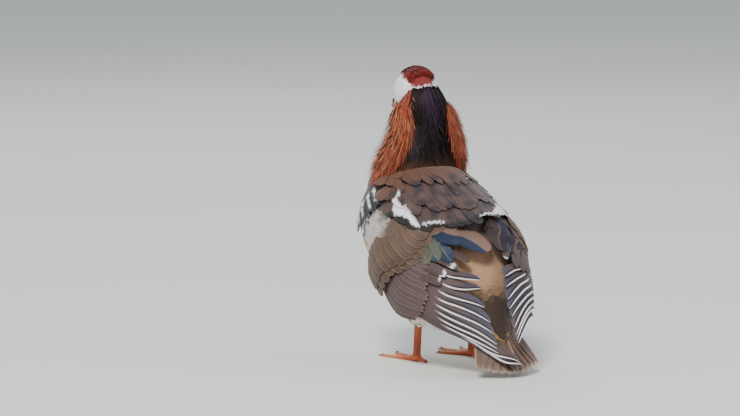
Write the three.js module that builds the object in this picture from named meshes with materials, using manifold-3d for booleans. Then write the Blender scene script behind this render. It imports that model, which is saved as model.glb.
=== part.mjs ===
// A life-size mandarin drake, standing upright on two webbed feet with its wings folded and
// drooping, its tail lowered to the floor and its long crest and side whiskers laid down the neck.
// Millimetres, +Z up, +Y the way the bird faces, +X its right side. The whole is shifted at the end
// so that its box stands centred on the origin.
import * as THREE from "three";
import { mergeVertices } from "three/addons/utils/BufferGeometryUtils.js";
import Module from "manifold-3d";

const wasm = await Module();
wasm.setup();

// Clearance kept between neighbouring pieces.
const GAP = 0.35;

// Stations along the bird, front to rear: the centre, the half-width and the half-depth.
const HEAD = [
  { x: -2, y: 82, z: 251, wide: 6, deep: 6 },
  { x: -2, y: 77, z: 253, wide: 9.5, deep: 10 },
  { x: -2, y: 69, z: 256.5, wide: 14, deep: 15.5 },
  { x: -2, y: 59, z: 260.5, wide: 18.5, deep: 21 },
  { x: -2, y: 47, z: 263, wide: 21, deep: 24.5 },
  { x: -2, y: 34, z: 264, wide: 20.5, deep: 24.5 },
  { x: -2, y: 23, z: 263, wide: 15, deep: 18 },
];
const NECK = [
  { y: 41, z: 266, wide: 20, deep: 19 },
  { y: 37, z: 248, wide: 25, deep: 21.5 },
  { y: 36, z: 230, wide: 25, deep: 19.5 },
  { y: 36, z: 214, wide: 30, deep: 20.5 },
  { y: 39, z: 198, wide: 36, deep: 25 },
  { y: 43, z: 182, wide: 45, deep: 34 },
  { y: 47, z: 164, wide: 50, deep: 42 },
  { y: 48, z: 146, wide: 44, deep: 38 },
];
const TRUNK = [
  { y: 88, z: 168, wide: 20, deep: 20 },
  { y: 80, z: 163, wide: 32, deep: 30 },
  { y: 66, z: 154, wide: 50, deep: 44 },
  { y: 44, z: 139, wide: 61, deep: 54 },
  { y: 14, z: 118, wide: 66, deep: 60 },
  { y: -17, z: 94.5, wide: 66.5, deep: 60.5 },
  { y: -45, z: 78, wide: 60, deep: 52.5 },
  { y: -68, z: 68, wide: 47, deep: 40 },
  { y: -86, z: 58, wide: 34, deep: 28 },
  { y: -99, z: 48, wide: 24, deep: 19 },
  { y: -112, z: 37, wide: 14, deep: 10 },
  { y: -122, z: 27, wide: 7, deep: 4 },
];
// The surface that the folded wings lie on: just outside the trunk, then back to the wing tips.
const WINGS = [
  { y: 88, z: 168, wide: 26, deep: 26 },
  { y: 80, z: 163, wide: 38, deep: 36 },
  { y: 66, z: 154, wide: 56, deep: 50 },
  { y: 44, z: 139, wide: 67, deep: 60 },
  { y: 14, z: 118, wide: 73, deep: 66 },
  { y: -17, z: 94.5, wide: 75, deep: 68 },
  { y: -45, z: 77.5, wide: 72, deep: 63 },
  { y: -70, z: 67, wide: 64, deep: 53 },
  { y: -92, z: 54, wide: 53, deep: 42 },
  { y: -112, z: 40, wide: 37, deep: 28 },
  { y: -131, z: 24, wide: 22, deep: 15 },
  { y: -146, z: 10, wide: 8, deep: 5 },
];
const BILL = [
  { x: -2, y: 77, z: 252, wide: 8, deep: 8.2 },
  { x: -2, y: 85, z: 249.5, wide: 7, deep: 6.6 },
  { x: -2, y: 93, z: 247, wide: 6.4, deep: 5 },
  { x: -2, y: 102, z: 244.5, wide: 6.3, deep: 3.8 },
  { x: -2, y: 110, z: 242.5, wide: 4, deep: 2.6 },
];
// The whiskers of the left cheek and neck as one smooth form; the right side mirrors it. Both lie a
// little to the right, as the head does.
const WHISKER_SHIFT = 1.5;
const WHISKERS = [
  { x: -15, y: 40, z: 255, wide: 6, deep: 10 },
  { x: -24, y: 34, z: 243, wide: 8, deep: 13 },
  { x: -28.5, y: 29, z: 224, wide: 9, deep: 14 },
  { x: -34.5, y: 32, z: 206, wide: 10, deep: 15 },
  { x: -41, y: 40, z: 189, wide: 8, deep: 14 },
  { x: -45, y: 50, z: 173, wide: 3, deep: 8 },
];
const HEAD_TURN = -12;
const HEAD_PIVOT = new THREE.Vector3(0, 36, 0);
const EYE = { x: 16.4, y: 55.5, z: 253, radius: 4.2 };
const NAPE_CUT = { way: new THREE.Vector3(0, 0.57, 0.82), through: new THREE.Vector3(0, 16, 271) };
const NECK_CUT = { way: new THREE.Vector3(0, 0.19, 0.98), through: new THREE.Vector3(0, 14, 181) };
const TAIL_ROOT = new THREE.Vector3(0, -80, 80);
const TAIL_WAY = new THREE.Vector3(0.01, -0.65, -0.76).normalize();
const TAIL_LENGTH = 100;
const LEG = { x: 32, y: -12, top: 64, radius: 3.8 };
const TOES = [
  { turn: -32, length: 38 },
  { turn: -7, length: 51 },
  { turn: 18, length: 48 },
];

const rad = THREE.MathUtils.degToRad;
const lerp = THREE.MathUtils.lerp;
const AXIS_X = new THREE.Vector3(1, 0, 0);

// A form swept along its stations. point(k, angle, height) is the place at station k, at an angle
// in degrees from the midline of the back, positive to the bird's right, raised off the surface.
function form(stations) {
  const last = stations.length - 1;
  const centre = new THREE.CatmullRomCurve3(
    stations.map((s) => new THREE.Vector3(s.x ?? 0, s.y, s.z)), false, "catmullrom", 0.5);
  const girth = new THREE.CatmullRomCurve3(
    stations.map((s) => new THREE.Vector3(s.wide, s.deep, 0)), false, "catmullrom", 0.5);
  function point(k, angle, height = 0, share = 1) {
    const t = THREE.MathUtils.clamp(k / last, 0, 1);
    const way = centre.getTangent(t);
    const side = AXIS_X.clone().addScaledVector(way, -way.x).normalize();
    const up = way.clone().cross(side);
    const size = girth.getPoint(t);
    return centre.getPoint(t)
      .addScaledVector(up, share * (size.y + height) * Math.cos(rad(angle)))
      .addScaledVector(side, share * (size.x + height) * Math.sin(rad(angle)));
  }
  return { last, point };
}

// The right wing bulges at its shoulder and the left one low at its side. Only the outer layers rise.
const BULGES = [
  { k: 5.0, angle: 62, long: 1.2, wide: 38, rise: 6 },
  { k: 6.9, angle: -104, long: 1.6, wide: 26, rise: 4 },
];
function folded(shape) {
  const swell = (k, angle) => BULGES.reduce((sum, b) =>
    sum + b.rise * Math.exp(-(((k - b.k) / b.long) ** 2) - ((angle - b.angle) / b.wide) ** 2), 0);
  const outer = (height) => THREE.MathUtils.clamp((height + 12) / 9, 0, 1);
  const point = (k, angle, height = 0, share = 1) =>
    shape.point(k, angle, height + swell(k, angle) * outer(height), share);
  return { last: shape.last, point };
}

const head = form(HEAD);
const neck = form(NECK);
const trunk = form(TRUNK);
const wings = folded(form(WINGS));
const tail = {
  // Here k is the distance down the tail and the angle is the fan's own.
  point(k, angle, height = 0) {
    const side = AXIS_X.clone().addScaledVector(TAIL_WAY, -TAIL_WAY.x).normalize();
    const up = TAIL_WAY.clone().cross(side);
    const across = k * Math.sin(rad(angle));
    return TAIL_ROOT.clone()
      .addScaledVector(TAIL_WAY, k * Math.cos(rad(angle)))
      .addScaledVector(side, across)
      .addScaledVector(up, height - 0.005 * across * across);
  },
};

// A closed solid from a three.js geometry, its faces turned to point out.
function solid(geometry) {
  const bare = geometry.clone();
  bare.deleteAttribute("normal");
  bare.deleteAttribute("uv");
  const merged = mergeVertices(bare, 1e-4);
  const closed = (corners) => new wasm.Manifold(new wasm.Mesh({
    numProp: 3,
    vertProperties: merged.attributes.position.array,
    triVerts: new Uint32Array(corners),
  }));
  const made = closed(merged.index.array);
  return made.volume() > 0 ? made : closed(Array.from(merged.index.array).reverse());
}

// Moves every vertex of a geometry by a rule.
function moved(geometry, rule) {
  const places = geometry.attributes.position;
  const p = new THREE.Vector3();
  for (let i = 0; i < places.count; i++) {
    const q = rule(p.fromBufferAttribute(places, i));
    places.setXYZ(i, q.x, q.y, q.z);
  }
  return geometry;
}

// A rounded body along a form's stations, its ends closed like an egg's.
function body(shape, grow = 0, around = 28, along = 22) {
  const ball = new THREE.SphereGeometry(1, around, along);
  return solid(moved(ball, (p) => {
    const k = shape.last * (1 - p.y) / 2;
    const near = Math.min(k, shape.last - k, 1);
    const share = Math.sqrt(Math.max(0, 1 - (1 - near) ** 2));
    return shape.point(k, THREE.MathUtils.radToDeg(Math.atan2(p.x, p.z)), grow, share);
  }));
}

// A solid ellipsoid.
function ellipsoid(place, size, around = 20, along = 14) {
  const ball = new THREE.SphereGeometry(1, around, along);
  return solid(ball.scale(size.x, size.y, size.z).translate(place.x, place.y, place.z));
}

// A tapered limb between two points.
function limb(from, to, radiusFrom, radiusTo, around = 12) {
  const way = to.clone().sub(from);
  const bar = new THREE.CylinderGeometry(radiusTo, radiusFrom, way.length(), around, 1);
  bar.translate(0, way.length() / 2, 0);
  const turn = new THREE.Quaternion().setFromUnitVectors(new THREE.Vector3(0, 1, 0), way.normalize());
  return solid(bar.applyQuaternion(turn).translate(from.x, from.y, from.z));
}

// The value at k on straight lines between [k, value] pairs.
function along(k, table) {
  const next = table.findIndex((row) => k <= row[0]);
  if (next === 0) return table[0][1];
  if (next < 0) return table[table.length - 1][1];
  const [ka, va] = table[next - 1];
  const [kb, vb] = table[next];
  return lerp(va, vb, (k - ka) / (kb - ka));
}

// A slab of a form's surface between two stations, two angles and two heights.
function slab(shape, k0, k1, edges, heights, steps) {
  const box = new THREE.BoxGeometry(1, 1, 1, steps[0], steps[1], 1);
  return solid(moved(box, (p) => {
    const k = lerp(k0, k1, p.x + 0.5);
    const [a0, a1] = edges(k);
    const [low, high] = heights(k);
    return shape.point(k, lerp(a0, a1, p.y + 0.5), lerp(low, high, p.z + 0.5));
  }));
}

const union = (pieces) => wasm.Manifold.union(pieces);
const largest = (made) => made.decompose().reduce((a, b) => (b.volume() > a.volume() ? b : a));

function above(made, cut, shift) {
  const way = cut.way.clone().normalize();
  return made.trimByPlane(way.toArray(), way.dot(cut.through) + shift);
}

function below(made, cut, shift) {
  const way = cut.way.clone().normalize();
  return made.trimByPlane(way.clone().negate().toArray(), -way.dot(cut.through) + shift);
}

// Turns the head and what it carries to the bird's right about the neck.
function turned(made) {
  return made.translate([0, -HEAD_PIVOT.y, 0]).rotate([0, 0, HEAD_TURN]).translate([0, HEAD_PIVOT.y, 0]);
}

// The flesh of head, neck and trunk as one, a little grown where neighbours are cut back from it.
const flesh = (grow) => union([
  turned(body(head, grow, 18, 13)),
  body(neck, grow, 18, 10),
  body(trunk, grow, 26, 17),
  ...[-1, 1].map((side) => ellipsoid(new THREE.Vector3(side * 30, -15, 58),
    new THREE.Vector3(14 + grow, 19 + grow, 24 + grow), 12, 8)),
]);

// A stop on a feather's way: a place on a surface and the way out of it there.
function stop(surface, k, angle, height) {
  const place = surface.point(k, angle, height);
  const out = surface.point(k, angle, height + 1).sub(surface.point(k, angle, height)).normalize();
  return { place, out };
}

// Outlines of a vane from root to tip, as [share of its length, share of its width].
const OUTLINES = {
  blade: [[0, 0.5], [0.35, 0.9], [0.65, 1], [0.87, 0.72], [1, 0.2]],
  round: [[0, 0.5], [0.35, 0.9], [0.7, 1], [0.9, 0.76], [1, 0.34]],
  short: [[0, 0.6], [0.55, 1], [0.86, 0.78], [1, 0.3]],
  plump: [[0, 0.6], [0.6, 1], [0.88, 0.78], [1, 0.36]],
  lock: [[0, 0.75], [0.4, 1], [0.8, 0.6], [1, 0.14]],
};

// One vane along its stops. reach is how far it spreads to its outer and to its inner side, inward
// being towards the back's midline on the given side; tilt sinks the inner edge; bow curves it down
// on both sides of the shaft; grow makes the clearance copy.
function vane(stops, side, reach, style = {}, grow = 0) {
  const { outline = OUTLINES.blade, tilt = 0.14, bow = 0.006, thick = 0.9, thin = 0.5, flat = false } = style;
  const places = new THREE.CatmullRomCurve3(stops.map((s) => s.place), false, "centripetal");
  const outs = new THREE.CatmullRomCurve3(stops.map((s) => s.out), false, "catmullrom", 0.5);
  const corners = [];
  const columns = flat ? [-1, 1] : [-1, 0, 1];
  for (const [share, width] of outline) {
    const place = places.getPoint(share);
    const way = places.getTangent(share);
    const out = outs.getPoint(share);
    out.addScaledVector(way, -way.dot(out)).normalize();
    const inward = out.clone().cross(way).multiplyScalar(side < 0 ? 1 : -1);
    const half = lerp(thick, thin, share) / 2;
    const end = grow * (share === 1 ? 1 : 0);
    const ring = (column, level) => {
      const spread = (column < 0 ? -reach[0] : column * reach[1]) * width + column * grow;
      const edge = column === 0 ? 1 : 0.62;
      const rise = -tilt * spread - bow * spread * spread + level * (half * edge + grow);
      corners.push(place.clone().addScaledVector(way, end).addScaledVector(inward, spread)
        .addScaledVector(out, rise));
    };
    columns.forEach((column) => ring(column, 1));
    [...columns].reverse().forEach((column) => ring(column, -1));
  }
  return strip(corners, columns.length * 2, columns.length);
}

// A closed strip through rings of corners, both of its faces split alike.
function strip(corners, ring, top) {
  const faces = [];
  const rings = corners.length / ring;
  for (let i = 0; i + 1 < rings; i++)
    for (let j = 0; j < ring; j++) {
      const a = i * ring + j;
      const b = i * ring + (j + 1) % ring;
      const c = b + ring;
      const d = a + ring;
      if (j >= top && j < ring - 1) faces.push(a, b, d, b, c, d);
      else faces.push(a, b, c, a, c, d);
    }
  const last = (rings - 1) * ring;
  for (let j = 0; j < top - 1; j++) {
    const k = ring - 1 - j;
    faces.push(j, k, j + 1, j + 1, k, k - 1);
    faces.push(last + j, last + j + 1, last + k, last + j + 1, last + k - 1, last + k);
  }
  const geometry = new THREE.BufferGeometry();
  geometry.setAttribute("position", new THREE.BufferAttribute(
    new Float32Array(corners.flatMap((p) => p.toArray())), 3));
  geometry.setIndex(faces);
  return solid(geometry);
}

// Steady pseudo-random numbers between -1 and 1.
function shaker(seed) {
  let state = seed;
  return () => {
    state = (state * 1664525 + 1013904223) % 4294967296;
    return state / 2147483648 - 1;
  };
}

// The flight feathers and coverts of the left wing, each a way over the wings' surface as
// [station, angle from the back's midline]. The right wing's are its own where it is more closed.
const PRIMARIES = {
  left: [
    [[6.7, 102], [8.65, 101], [9.9, 84], [10.75, 52], [11, -50]],
    [[6.6, 98], [8.1, 97], [9.3, 89], [10.3, 64], [11, -28]],
    [[6.4, 94], [7.9, 93], [9.1, 86], [10.25, 58]],
    [[6.4, 89], [7.75, 87], [8.85, 80], [10.1, 52]],
    [[6.3, 84], [7.65, 81], [8.7, 72], [9.9, 45]],
    [[6.3, 79], [7.55, 75], [8.5, 64], [9.6, 38]],
    [[6.3, 74], [7.5, 68], [8.2, 57], [9.15, 34]],
    [[6.3, 68], [7.4, 61], [8.0, 51], [8.65, 30]],
    [[6.3, 62], [7.3, 53], [7.8, 41], [8.1, 24]],
    [[6.3, 56], [7.1, 46], [7.5, 34], [7.75, 20]],
  ],
  right: [
    [[6.7, 102], [8.2, 88], [9.1, 48], [10.1, 12]],
    [[6.6, 98], [7.9, 84], [8.9, 46], [10.0, 10]],
    [[6.4, 94], [7.8, 78], [8.8, 44], [9.8, 11]],
    [[6.4, 89], [7.7, 72], [8.6, 42], [9.5, 11]],
    [[6.3, 84], [7.6, 66], [8.4, 40], [9.2, 11]],
    [[6.3, 79], [7.5, 60], [8.2, 36], [8.9, 11]],
    [[6.3, 74], [7.4, 54], [8.0, 32], [8.6, 11]],
    [[6.3, 68], [7.3, 48], [7.8, 28], [8.2, 11]],
    [[6.3, 62], [7.2, 42], [7.5, 27], [7.8, 13]],
  ],
};
const SECONDARIES = {
  left: [
    [[5.7, 68], [6.6, 64], [7.3, 56]],
    [[5.6, 60], [6.5, 56], [7.25, 48]],
    [[5.5, 52], [6.4, 46], [7.2, 34]],
    [[5.4, 44], [6.3, 37], [7.2, 22]],
  ],
  right: [
    [[5.7, 68], [6.6, 60], [7.3, 48]],
    [[5.6, 60], [6.5, 52], [7.25, 40]],
    [[5.5, 52], [6.4, 44], [7.15, 31]],
    [[5.4, 44], [6.3, 36], [7.05, 22]],
  ],
};
const TERTIALS = {
  left: [
    { way: [[4.9, 46], [5.9, 40], [6.95, 30]], reach: [8, 9] },
    { way: [[4.7, 37], [5.8, 28], [6.95, 16]], reach: [9, 9] },
    { way: [[4.6, 28], [5.5, 14], [6.55, -1]], reach: [11, 10] },
  ],
  right: [
    { way: [[4.9, 46], [5.9, 41], [6.95, 33]], reach: [8, 8] },
    { way: [[4.8, 38], [5.8, 32], [6.7, 24]], reach: [8, 7] },
  ],
};
const LONG_COVERTS = [
  [[5.2, 108], [6.1, 109], [7.2, 106]],
  [[5.2, 98], [6.2, 99], [7.35, 95]],
  [[5.2, 88], [6.2, 88], [7.3, 85]],
  [[5.2, 80], [6.2, 79], [7.2, 75]],
  [[5.1, 72], [6.0, 70], [7.0, 66]],
  [[5.0, 63], [5.8, 61], [6.7, 57]],
  [[4.9, 55], [5.6, 53], [6.45, 48]],
  [[4.8, 47], [5.4, 45], [6.15, 40]],
];
const ROUND_COVERTS = [
  [[3.8, 103], [4.5, 106], [5.4, 107]],
  [[4.0, 90], [4.6, 91], [5.45, 91]],
  [[4.05, 77], [4.7, 76], [5.55, 75]],
  [[4.0, 67], [4.6, 66], [5.5, 65]],
  [[4.0, 58], [4.5, 57], [5.35, 55]],
  [[4.0, 50], [4.4, 49], [5.1, 47]],
];

// Lays ways over a surface as vanes, the first way the lowest of its row.
function row(surface, ways, side, heights, reach, style, grow, shake) {
  return ways.map((way) => {
    const stops = way.map(([k, angle], i) => stop(surface, k, side * angle,
      along(i / (way.length - 1), heights) + (i > 0 ? 0.15 * shake() : 0)));
    return vane(stops, side, reach, style, grow);
  });
}

function wingVanes(side, grow = 0) {
  const word = side < 0 ? "left" : "right";
  const shake = shaker(side < 0 ? 11 : 23);
  const laid = (ways, heights, reach, style) => row(wings, ways, side, heights, reach, style, grow, shake);
  return [
    ...laid(PRIMARIES[word], [[0, -3], [0.4, -0.2], [1, 1]], [2, 9], { flat: true }),
    ...laid(SECONDARIES[word], [[0, -2.5], [0.6, 1.4], [1, 2]], [3, 8],
      { outline: OUTLINES.short, flat: true }),
    ...laid(LONG_COVERTS, [[0, -3], [0.5, 0.8], [1, 1.7]], [4, 8.5], { outline: OUTLINES.short, flat: true }),
    ...TERTIALS[word].flatMap(({ way, reach }, i) =>
      laid([way], [[0, -5], [0.5, 0.5 + i * 0.7], [1, 2 + i * 0.8]], reach,
        { outline: OUTLINES.round, tilt: 0.09, bow: 0.008, thick: 1 })),
    ...laid(ROUND_COVERTS, [[0, -3], [0.4, 1.6], [1, 2.9]], [8.5, 8.5],
      { outline: OUTLINES.plump, tilt: 0.09, bow: 0.008 }),
  ];
}

// The closed pad of a wing that its feathers are rooted in.
const PAD_EDGES = {
  outer: [[3.7, 92], [4.6, 108], [5.8, 109], [6.6, 106], [7.7, 100]],
  inner: [[3.7, 44], [4.4, 28], [5.2, 17], [6, 22], [6.6, 36], [7.7, 58]],
};
function pad(side) {
  const ball = new THREE.SphereGeometry(1, 16, 11);
  const ends = [3.7, 7.6];
  return solid(moved(ball, (p) => {
    const ring = Math.sqrt(Math.max(1e-9, 1 - p.y * p.y));
    const k = lerp(ends[0], ends[1], (1 - p.y) / 2);
    const open = Math.min(1, ring * 1.15);
    const across = (p.x / ring) * open;
    const outer = along(k, PAD_EDGES.outer);
    const inner = along(k, PAD_EDGES.inner);
    const angle = (outer + inner) / 2 + across * (outer - inner) / 2;
    const lift = Math.sign(p.z) * Math.sqrt(Math.abs(p.z / ring));
    return wings.point(k, side * angle, -6.5 + 5.8 * lift * open);
  }));
}

// The tail's fan of long feathers and the coverts over their roots.
const TAIL_FAN = [-21, -17, -12.5, -8, -3.5, 21, 17, 12.5, 8, 3.5, 0];
const TAIL_COVERTS = [-14, 14, -7, 7, 0];
function tailVanes(grow = 0) {
  const shake = shaker(5);
  const long = TAIL_FAN.map((turn, i) => {
    const side = turn < 0 ? -1 : 1;
    const length = TAIL_LENGTH - 0.012 * turn * turn - 2 * Math.abs(shake());
    const lift = turn === 0 ? 1.4 : -0.5;
    const stops = [12, 0.55 * length, length].map((d, n) => stop(tail, d, turn, lift * (n > 0 ? 1 : 0.4)));
    return vane(stops, side, turn === 0 ? [6.5, 6.5] : [5.5, 8],
      { outline: OUTLINES.round, tilt: turn === 0 ? 0 : -0.15, bow: 0.002, flat: turn !== 0 }, grow);
  });
  const short = TAIL_COVERTS.map((turn, i) => {
    const layer = (i > 1 ? 1 : 0) + (i > 3 ? 1 : 0);
    const stops = [16, 38, 54].map((d, n) => stop(tail, d, turn, [0, 3.2, 3.4][n] + layer));
    return vane(stops, turn < 0 ? -1 : 1, [6, 6.5], { outline: OUTLINES.short, tilt: 0, bow: 0.01 }, grow);
  });
  return [...long, ...short];
}
const tailRoot = (grow) => slab(tail, 10, 34, () => [-17, 17], () => [-2.6 - grow, 4 + grow], [3, 4]);

// The shoulder feathers that lie over the front edge of each wing, rooted in the back.
const SHOULDER_ROWS = [
  { ways: [[[3.4, 47], [4.0, 51], [4.9, 49]], [[3.5, 36], [4.3, 40], [5.25, 37]],
    [[3.7, 25], [4.5, 28], [5.45, 26]], [[3.9, 14], [4.7, 16], [5.55, 14]]], lift: 0 },
  { ways: [[[2.8, 52], [3.3, 56], [4.0, 57]], [[2.9, 40], [3.6, 44], [4.45, 44]],
    [[3.1, 28], [3.9, 32], [4.75, 31]], [[3.3, 16], [4.0, 20], [4.95, 19]]], lift: 1.2 },
];
function shoulderVanes(side, grow = 0) {
  const shake = shaker(side < 0 ? 31 : 37);
  return SHOULDER_ROWS.flatMap(({ ways, lift }) =>
    row(wings, ways, side, [[0, -9], [0.5, 1 + lift], [1, 2.8 + lift]], [8.5, 9],
      { outline: OUTLINES.plump, tilt: 0.1, bow: 0.006, thick: 1 }, grow, shake));
}

const LOCK_STYLE = { outline: OUTLINES.lock, tilt: 0, thick: 2, thin: 0.7, flat: true };

// Locks of the long crest down the nape, in tiers from the lowest up.
function maneLocks() {
  const shake = shaker(71);
  const locks = [];
  const tiers = [
    { k: 3.4, reach: 1.6, angles: [-56, -28, 0, 28, 56], height: 5.6 },
    { k: 2.4, reach: 1.6, angles: [-42, -14, 14, 42], height: 5.8 },
    { k: 1.5, reach: 1.5, angles: [-52, -26, 0, 26, 52], height: 6 },
    { k: 0.7, reach: 1.3, angles: [-42, -14, 14, 42], height: 6.3 },
    { k: 0.15, reach: 1.1, angles: [-50, -25, 0, 25, 50], height: 6.6 },
  ];
  for (const { k, reach, angles, height } of tiers)
    for (const angle of angles) {
      const side = angle < 0 ? -1 : 1;
      const bend = 4 * shake();
      const from = k + 0.12 * shake();
      const rise = height + 0.6 * shake();
      const stops = [[from, angle, -2], [from + reach * 0.5, angle * 1.02 + bend, rise * 0.75],
        [from + reach, angle * 1.05 - bend, rise]].map(([a, b, c]) => stop(neck, a, b, c));
      locks.push(vane(stops, side, [6, 6], LOCK_STYLE));
    }
  return locks;
}

// Locks of the side whiskers, in tiers from the lowest up, fanned back and out.
function whiskerLocks(side) {
  const shake = shaker(side < 0 ? 91 : 97);
  const shape = form(WHISKERS.map((s) => ({ ...s, x: WHISKER_SHIFT - side * s.x })));
  const locks = [];
  const tiers = [
    { k: 2.9, reach: 1.9, angles: [-10, 30, 70, 110] },
    { k: 1.7, reach: 1.9, angles: [5, 50, 95] },
    { k: 0.6, reach: 1.8, angles: [20, 65, 110] },
  ];
  for (const { k, reach, angles } of tiers)
    for (const angle of angles) {
      const bend = 7 * shake();
      const from = k + 0.15 * shake();
      const rise = 0.6 * shake();
      const stops = [[from, angle, -4], [from + reach * 0.5, angle + bend, -0.6 + rise],
        [from + reach, angle - bend, 0.8 + rise]].map(([a, b, c]) => stop(shape, a, side * b, c));
      locks.push(vane(stops, side, [4.8, 4.8], LOCK_STYLE));
    }
  return { locks, shape };
}

// Locks of the crown, laid back to the nape.
function crownLocks() {
  const shake = shaker(51);
  const locks = [];
  const tiers = [
    { k: 4.2, reach: 1.7, angles: [-48, -24, 0, 24, 48] },
    { k: 3.1, reach: 1.7, angles: [-34, -11, 11, 34] },
  ];
  for (const { k, reach, angles } of tiers)
    for (const angle of angles) {
      const stops = [[k, angle, -1.6], [k + reach * 0.5, angle + 3 * shake(), 0.9],
        [k + reach, angle, 1.5 + 0.3 * shake()]].map(([a, b, c]) => stop(head, a, b, c));
      locks.push(vane(stops, angle < 0 ? -1 : 1, [4.6, 4.6],
        { outline: OUTLINES.lock, tilt: 0, thick: 1.6, thin: 0.6, flat: true }));
    }
  return locks.map(turned);
}

// One webbed foot with its sole flat on the floor, and the leg above it.
function foot(side) {
  const ankle = new THREE.Vector3(side * LEG.x, LEG.y, 0);
  const toeEnd = (toe, share = 1) => ankle.clone().add(new THREE.Vector3(
    Math.sin(rad(toe.turn * side)), Math.cos(rad(toe.turn)), 0).multiplyScalar(toe.length * share));
  const raised = (p, z) => p.clone().setZ(z);
  const pieces = [ellipsoid(raised(ankle, 4), new THREE.Vector3(5.4, 6.4, 6), 10, 8)];
  for (const toe of TOES) {
    pieces.push(limb(raised(ankle, 3.2), raised(toeEnd(toe, 0.93), 1.6), 3.4, 2.1, 8));
    pieces.push(limb(raised(toeEnd(toe, 0.92), 1.8), raised(toeEnd(toe, 1.07), 0.8), 1.8, 0.5, 6));
  }
  const heel = ankle.clone().add(new THREE.Vector3(-side * 3, -15, 0));
  pieces.push(limb(raised(ankle, 4), raised(heel, 1.6), 2.6, 1.5, 6));
  for (const [a, b] of [[TOES[0], TOES[1]], [TOES[1], TOES[2]]]) {
    const web = new THREE.Shape();
    const middle = toeEnd(a, 0.8).add(toeEnd(b, 0.8)).multiplyScalar(0.5).lerp(ankle, 0.12);
    web.moveTo(ankle.x, ankle.y);
    web.lineTo(toeEnd(a, 0.88).x, toeEnd(a, 0.88).y);
    web.quadraticCurveTo(middle.x, middle.y, toeEnd(b, 0.88).x, toeEnd(b, 0.88).y);
    web.closePath();
    pieces.push(solid(new THREE.ExtrudeGeometry(web, { depth: 1.4, bevelEnabled: false, curveSegments: 4 })));
  }
  return union(pieces).trimByPlane([0, 0, 1], 0);
}

const group = new THREE.Group();
function node(name, made, colour, roughness = 0.7) {
  const mesh = largest(made).getMesh();
  const geometry = new THREE.BufferGeometry();
  geometry.setAttribute("position", new THREE.BufferAttribute(new Float32Array(mesh.vertProperties), 3));
  geometry.setIndex(new THREE.BufferAttribute(new Uint32Array(mesh.triVerts), 1));
  geometry.computeVertexNormals();
  const piece = new THREE.Mesh(geometry, new THREE.MeshStandardMaterial({ color: colour, roughness }));
  piece.name = name;
  group.add(piece);
}

const whole = flesh(0);
const around = flesh(GAP);
const SIDES = [[-1, "left"], [1, "right"]];

const bill = turned(body(form(BILL), 0, 14, 10)).subtract(around);
const NOSTRIL = new THREE.Vector3(5.4, 92, 249.6);
const BITE = { way: new THREE.Vector3(0, 0.2, 1), through: new THREE.Vector3(0, 84, 246.6) };
const ball = (side, grow) => turned(ellipsoid(new THREE.Vector3(side * EYE.x - 2, EYE.y, EYE.z),
  new THREE.Vector3(1, 1, 1).multiplyScalar(EYE.radius + grow), 12, 8));

// The lids: a raised ring about the front of each eye.
const LID = { offset: 1.7, radius: 4.9, thick: 0.85, way: new THREE.Vector3(1, 0.28, 0.06) };
function lids(side) {
  const way = LID.way.clone().setX(side).normalize();
  const ring = new THREE.TorusGeometry(LID.radius, LID.thick, 4, 10);
  ring.applyQuaternion(new THREE.Quaternion().setFromUnitVectors(new THREE.Vector3(0, 0, 1), way));
  const place = new THREE.Vector3(side * EYE.x - 2, EYE.y, EYE.z).addScaledVector(way, LID.offset);
  return turned(solid(ring.translate(place.x, place.y, place.z)));
}

const nostrils = union(SIDES.map(([side]) => turned(ellipsoid(
  new THREE.Vector3(side * NOSTRIL.x - 2, NOSTRIL.y, NOSTRIL.z), new THREE.Vector3(2, 2.6, 0.9), 8, 6))));

node("head", above(union([whole, ...crownLocks(), lids(-1), lids(1)]), NAPE_CUT, GAP / 2)
  .subtract(union([ball(-1, GAP), ball(1, GAP)])), 0x9a3a2a);
node("bill_upper", above(bill, BITE, GAP / 2).subtract(nostrils), 0xb0443c, 0.35);
node("bill_lower", below(bill, BITE, GAP / 2), 0xa03c36, 0.35);
node("eye_left", ball(-1, 0), 0x1c0f0a, 0.1);
node("eye_right", ball(1, 0), 0x1c0f0a, 0.1);

const whiskers = SIDES.map(([side]) => whiskerLocks(side));
const mane = union([whole, ...maneLocks(),
  ...whiskers.flatMap(({ locks, shape }) => [body(shape, -4, 12, 8), ...locks])]);
node("neck", above(below(mane, NAPE_CUT, GAP / 2), NECK_CUT, GAP / 2), 0x3a2530);

const shoulders = SIDES.flatMap(([side]) => shoulderVanes(side));
node("torso", below(union([whole, ...shoulders]), NECK_CUT, GAP / 2), 0x6b5a4c);

const shoulderRoom = union(SIDES.flatMap(([side]) => shoulderVanes(side, GAP)));
const leftRoom = union([pad(-1), ...wingVanes(-1, GAP)]);
const rightRoom = union([pad(1), ...wingVanes(1, GAP)]);
const clear = union([around, shoulderRoom]);
node("wing_left", union([pad(-1), ...wingVanes(-1)]).subtract(clear), 0x6d625b);
node("wing_right", union([pad(1), ...wingVanes(1)]).subtract(clear).subtract(leftRoom), 0x62574f);
node("tail", union([tailRoot(0), ...tailVanes()]).subtract(around).subtract(leftRoom).subtract(rightRoom),
  0x7b6a60);
for (const [side, word] of SIDES) {
  const low = new THREE.Vector3(side * LEG.x, LEG.y, 2);
  const high = new THREE.Vector3(side * (LEG.x - 1), LEG.y - 4, LEG.top);
  node("leg_" + word, limb(low, high, LEG.radius, LEG.radius + 0.9, 14).subtract(around), 0xc07040, 0.5);
  node("foot_" + word, foot(side).subtract(limb(low, high, LEG.radius + GAP, LEG.radius + 1 + GAP, 14)),
    0xc88050, 0.5);
}

const box = new THREE.Box3().setFromObject(group);
const centre = box.getCenter(new THREE.Vector3());
group.position.set(-centre.x, -centre.y, -box.min.z);

export default group;
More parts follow.
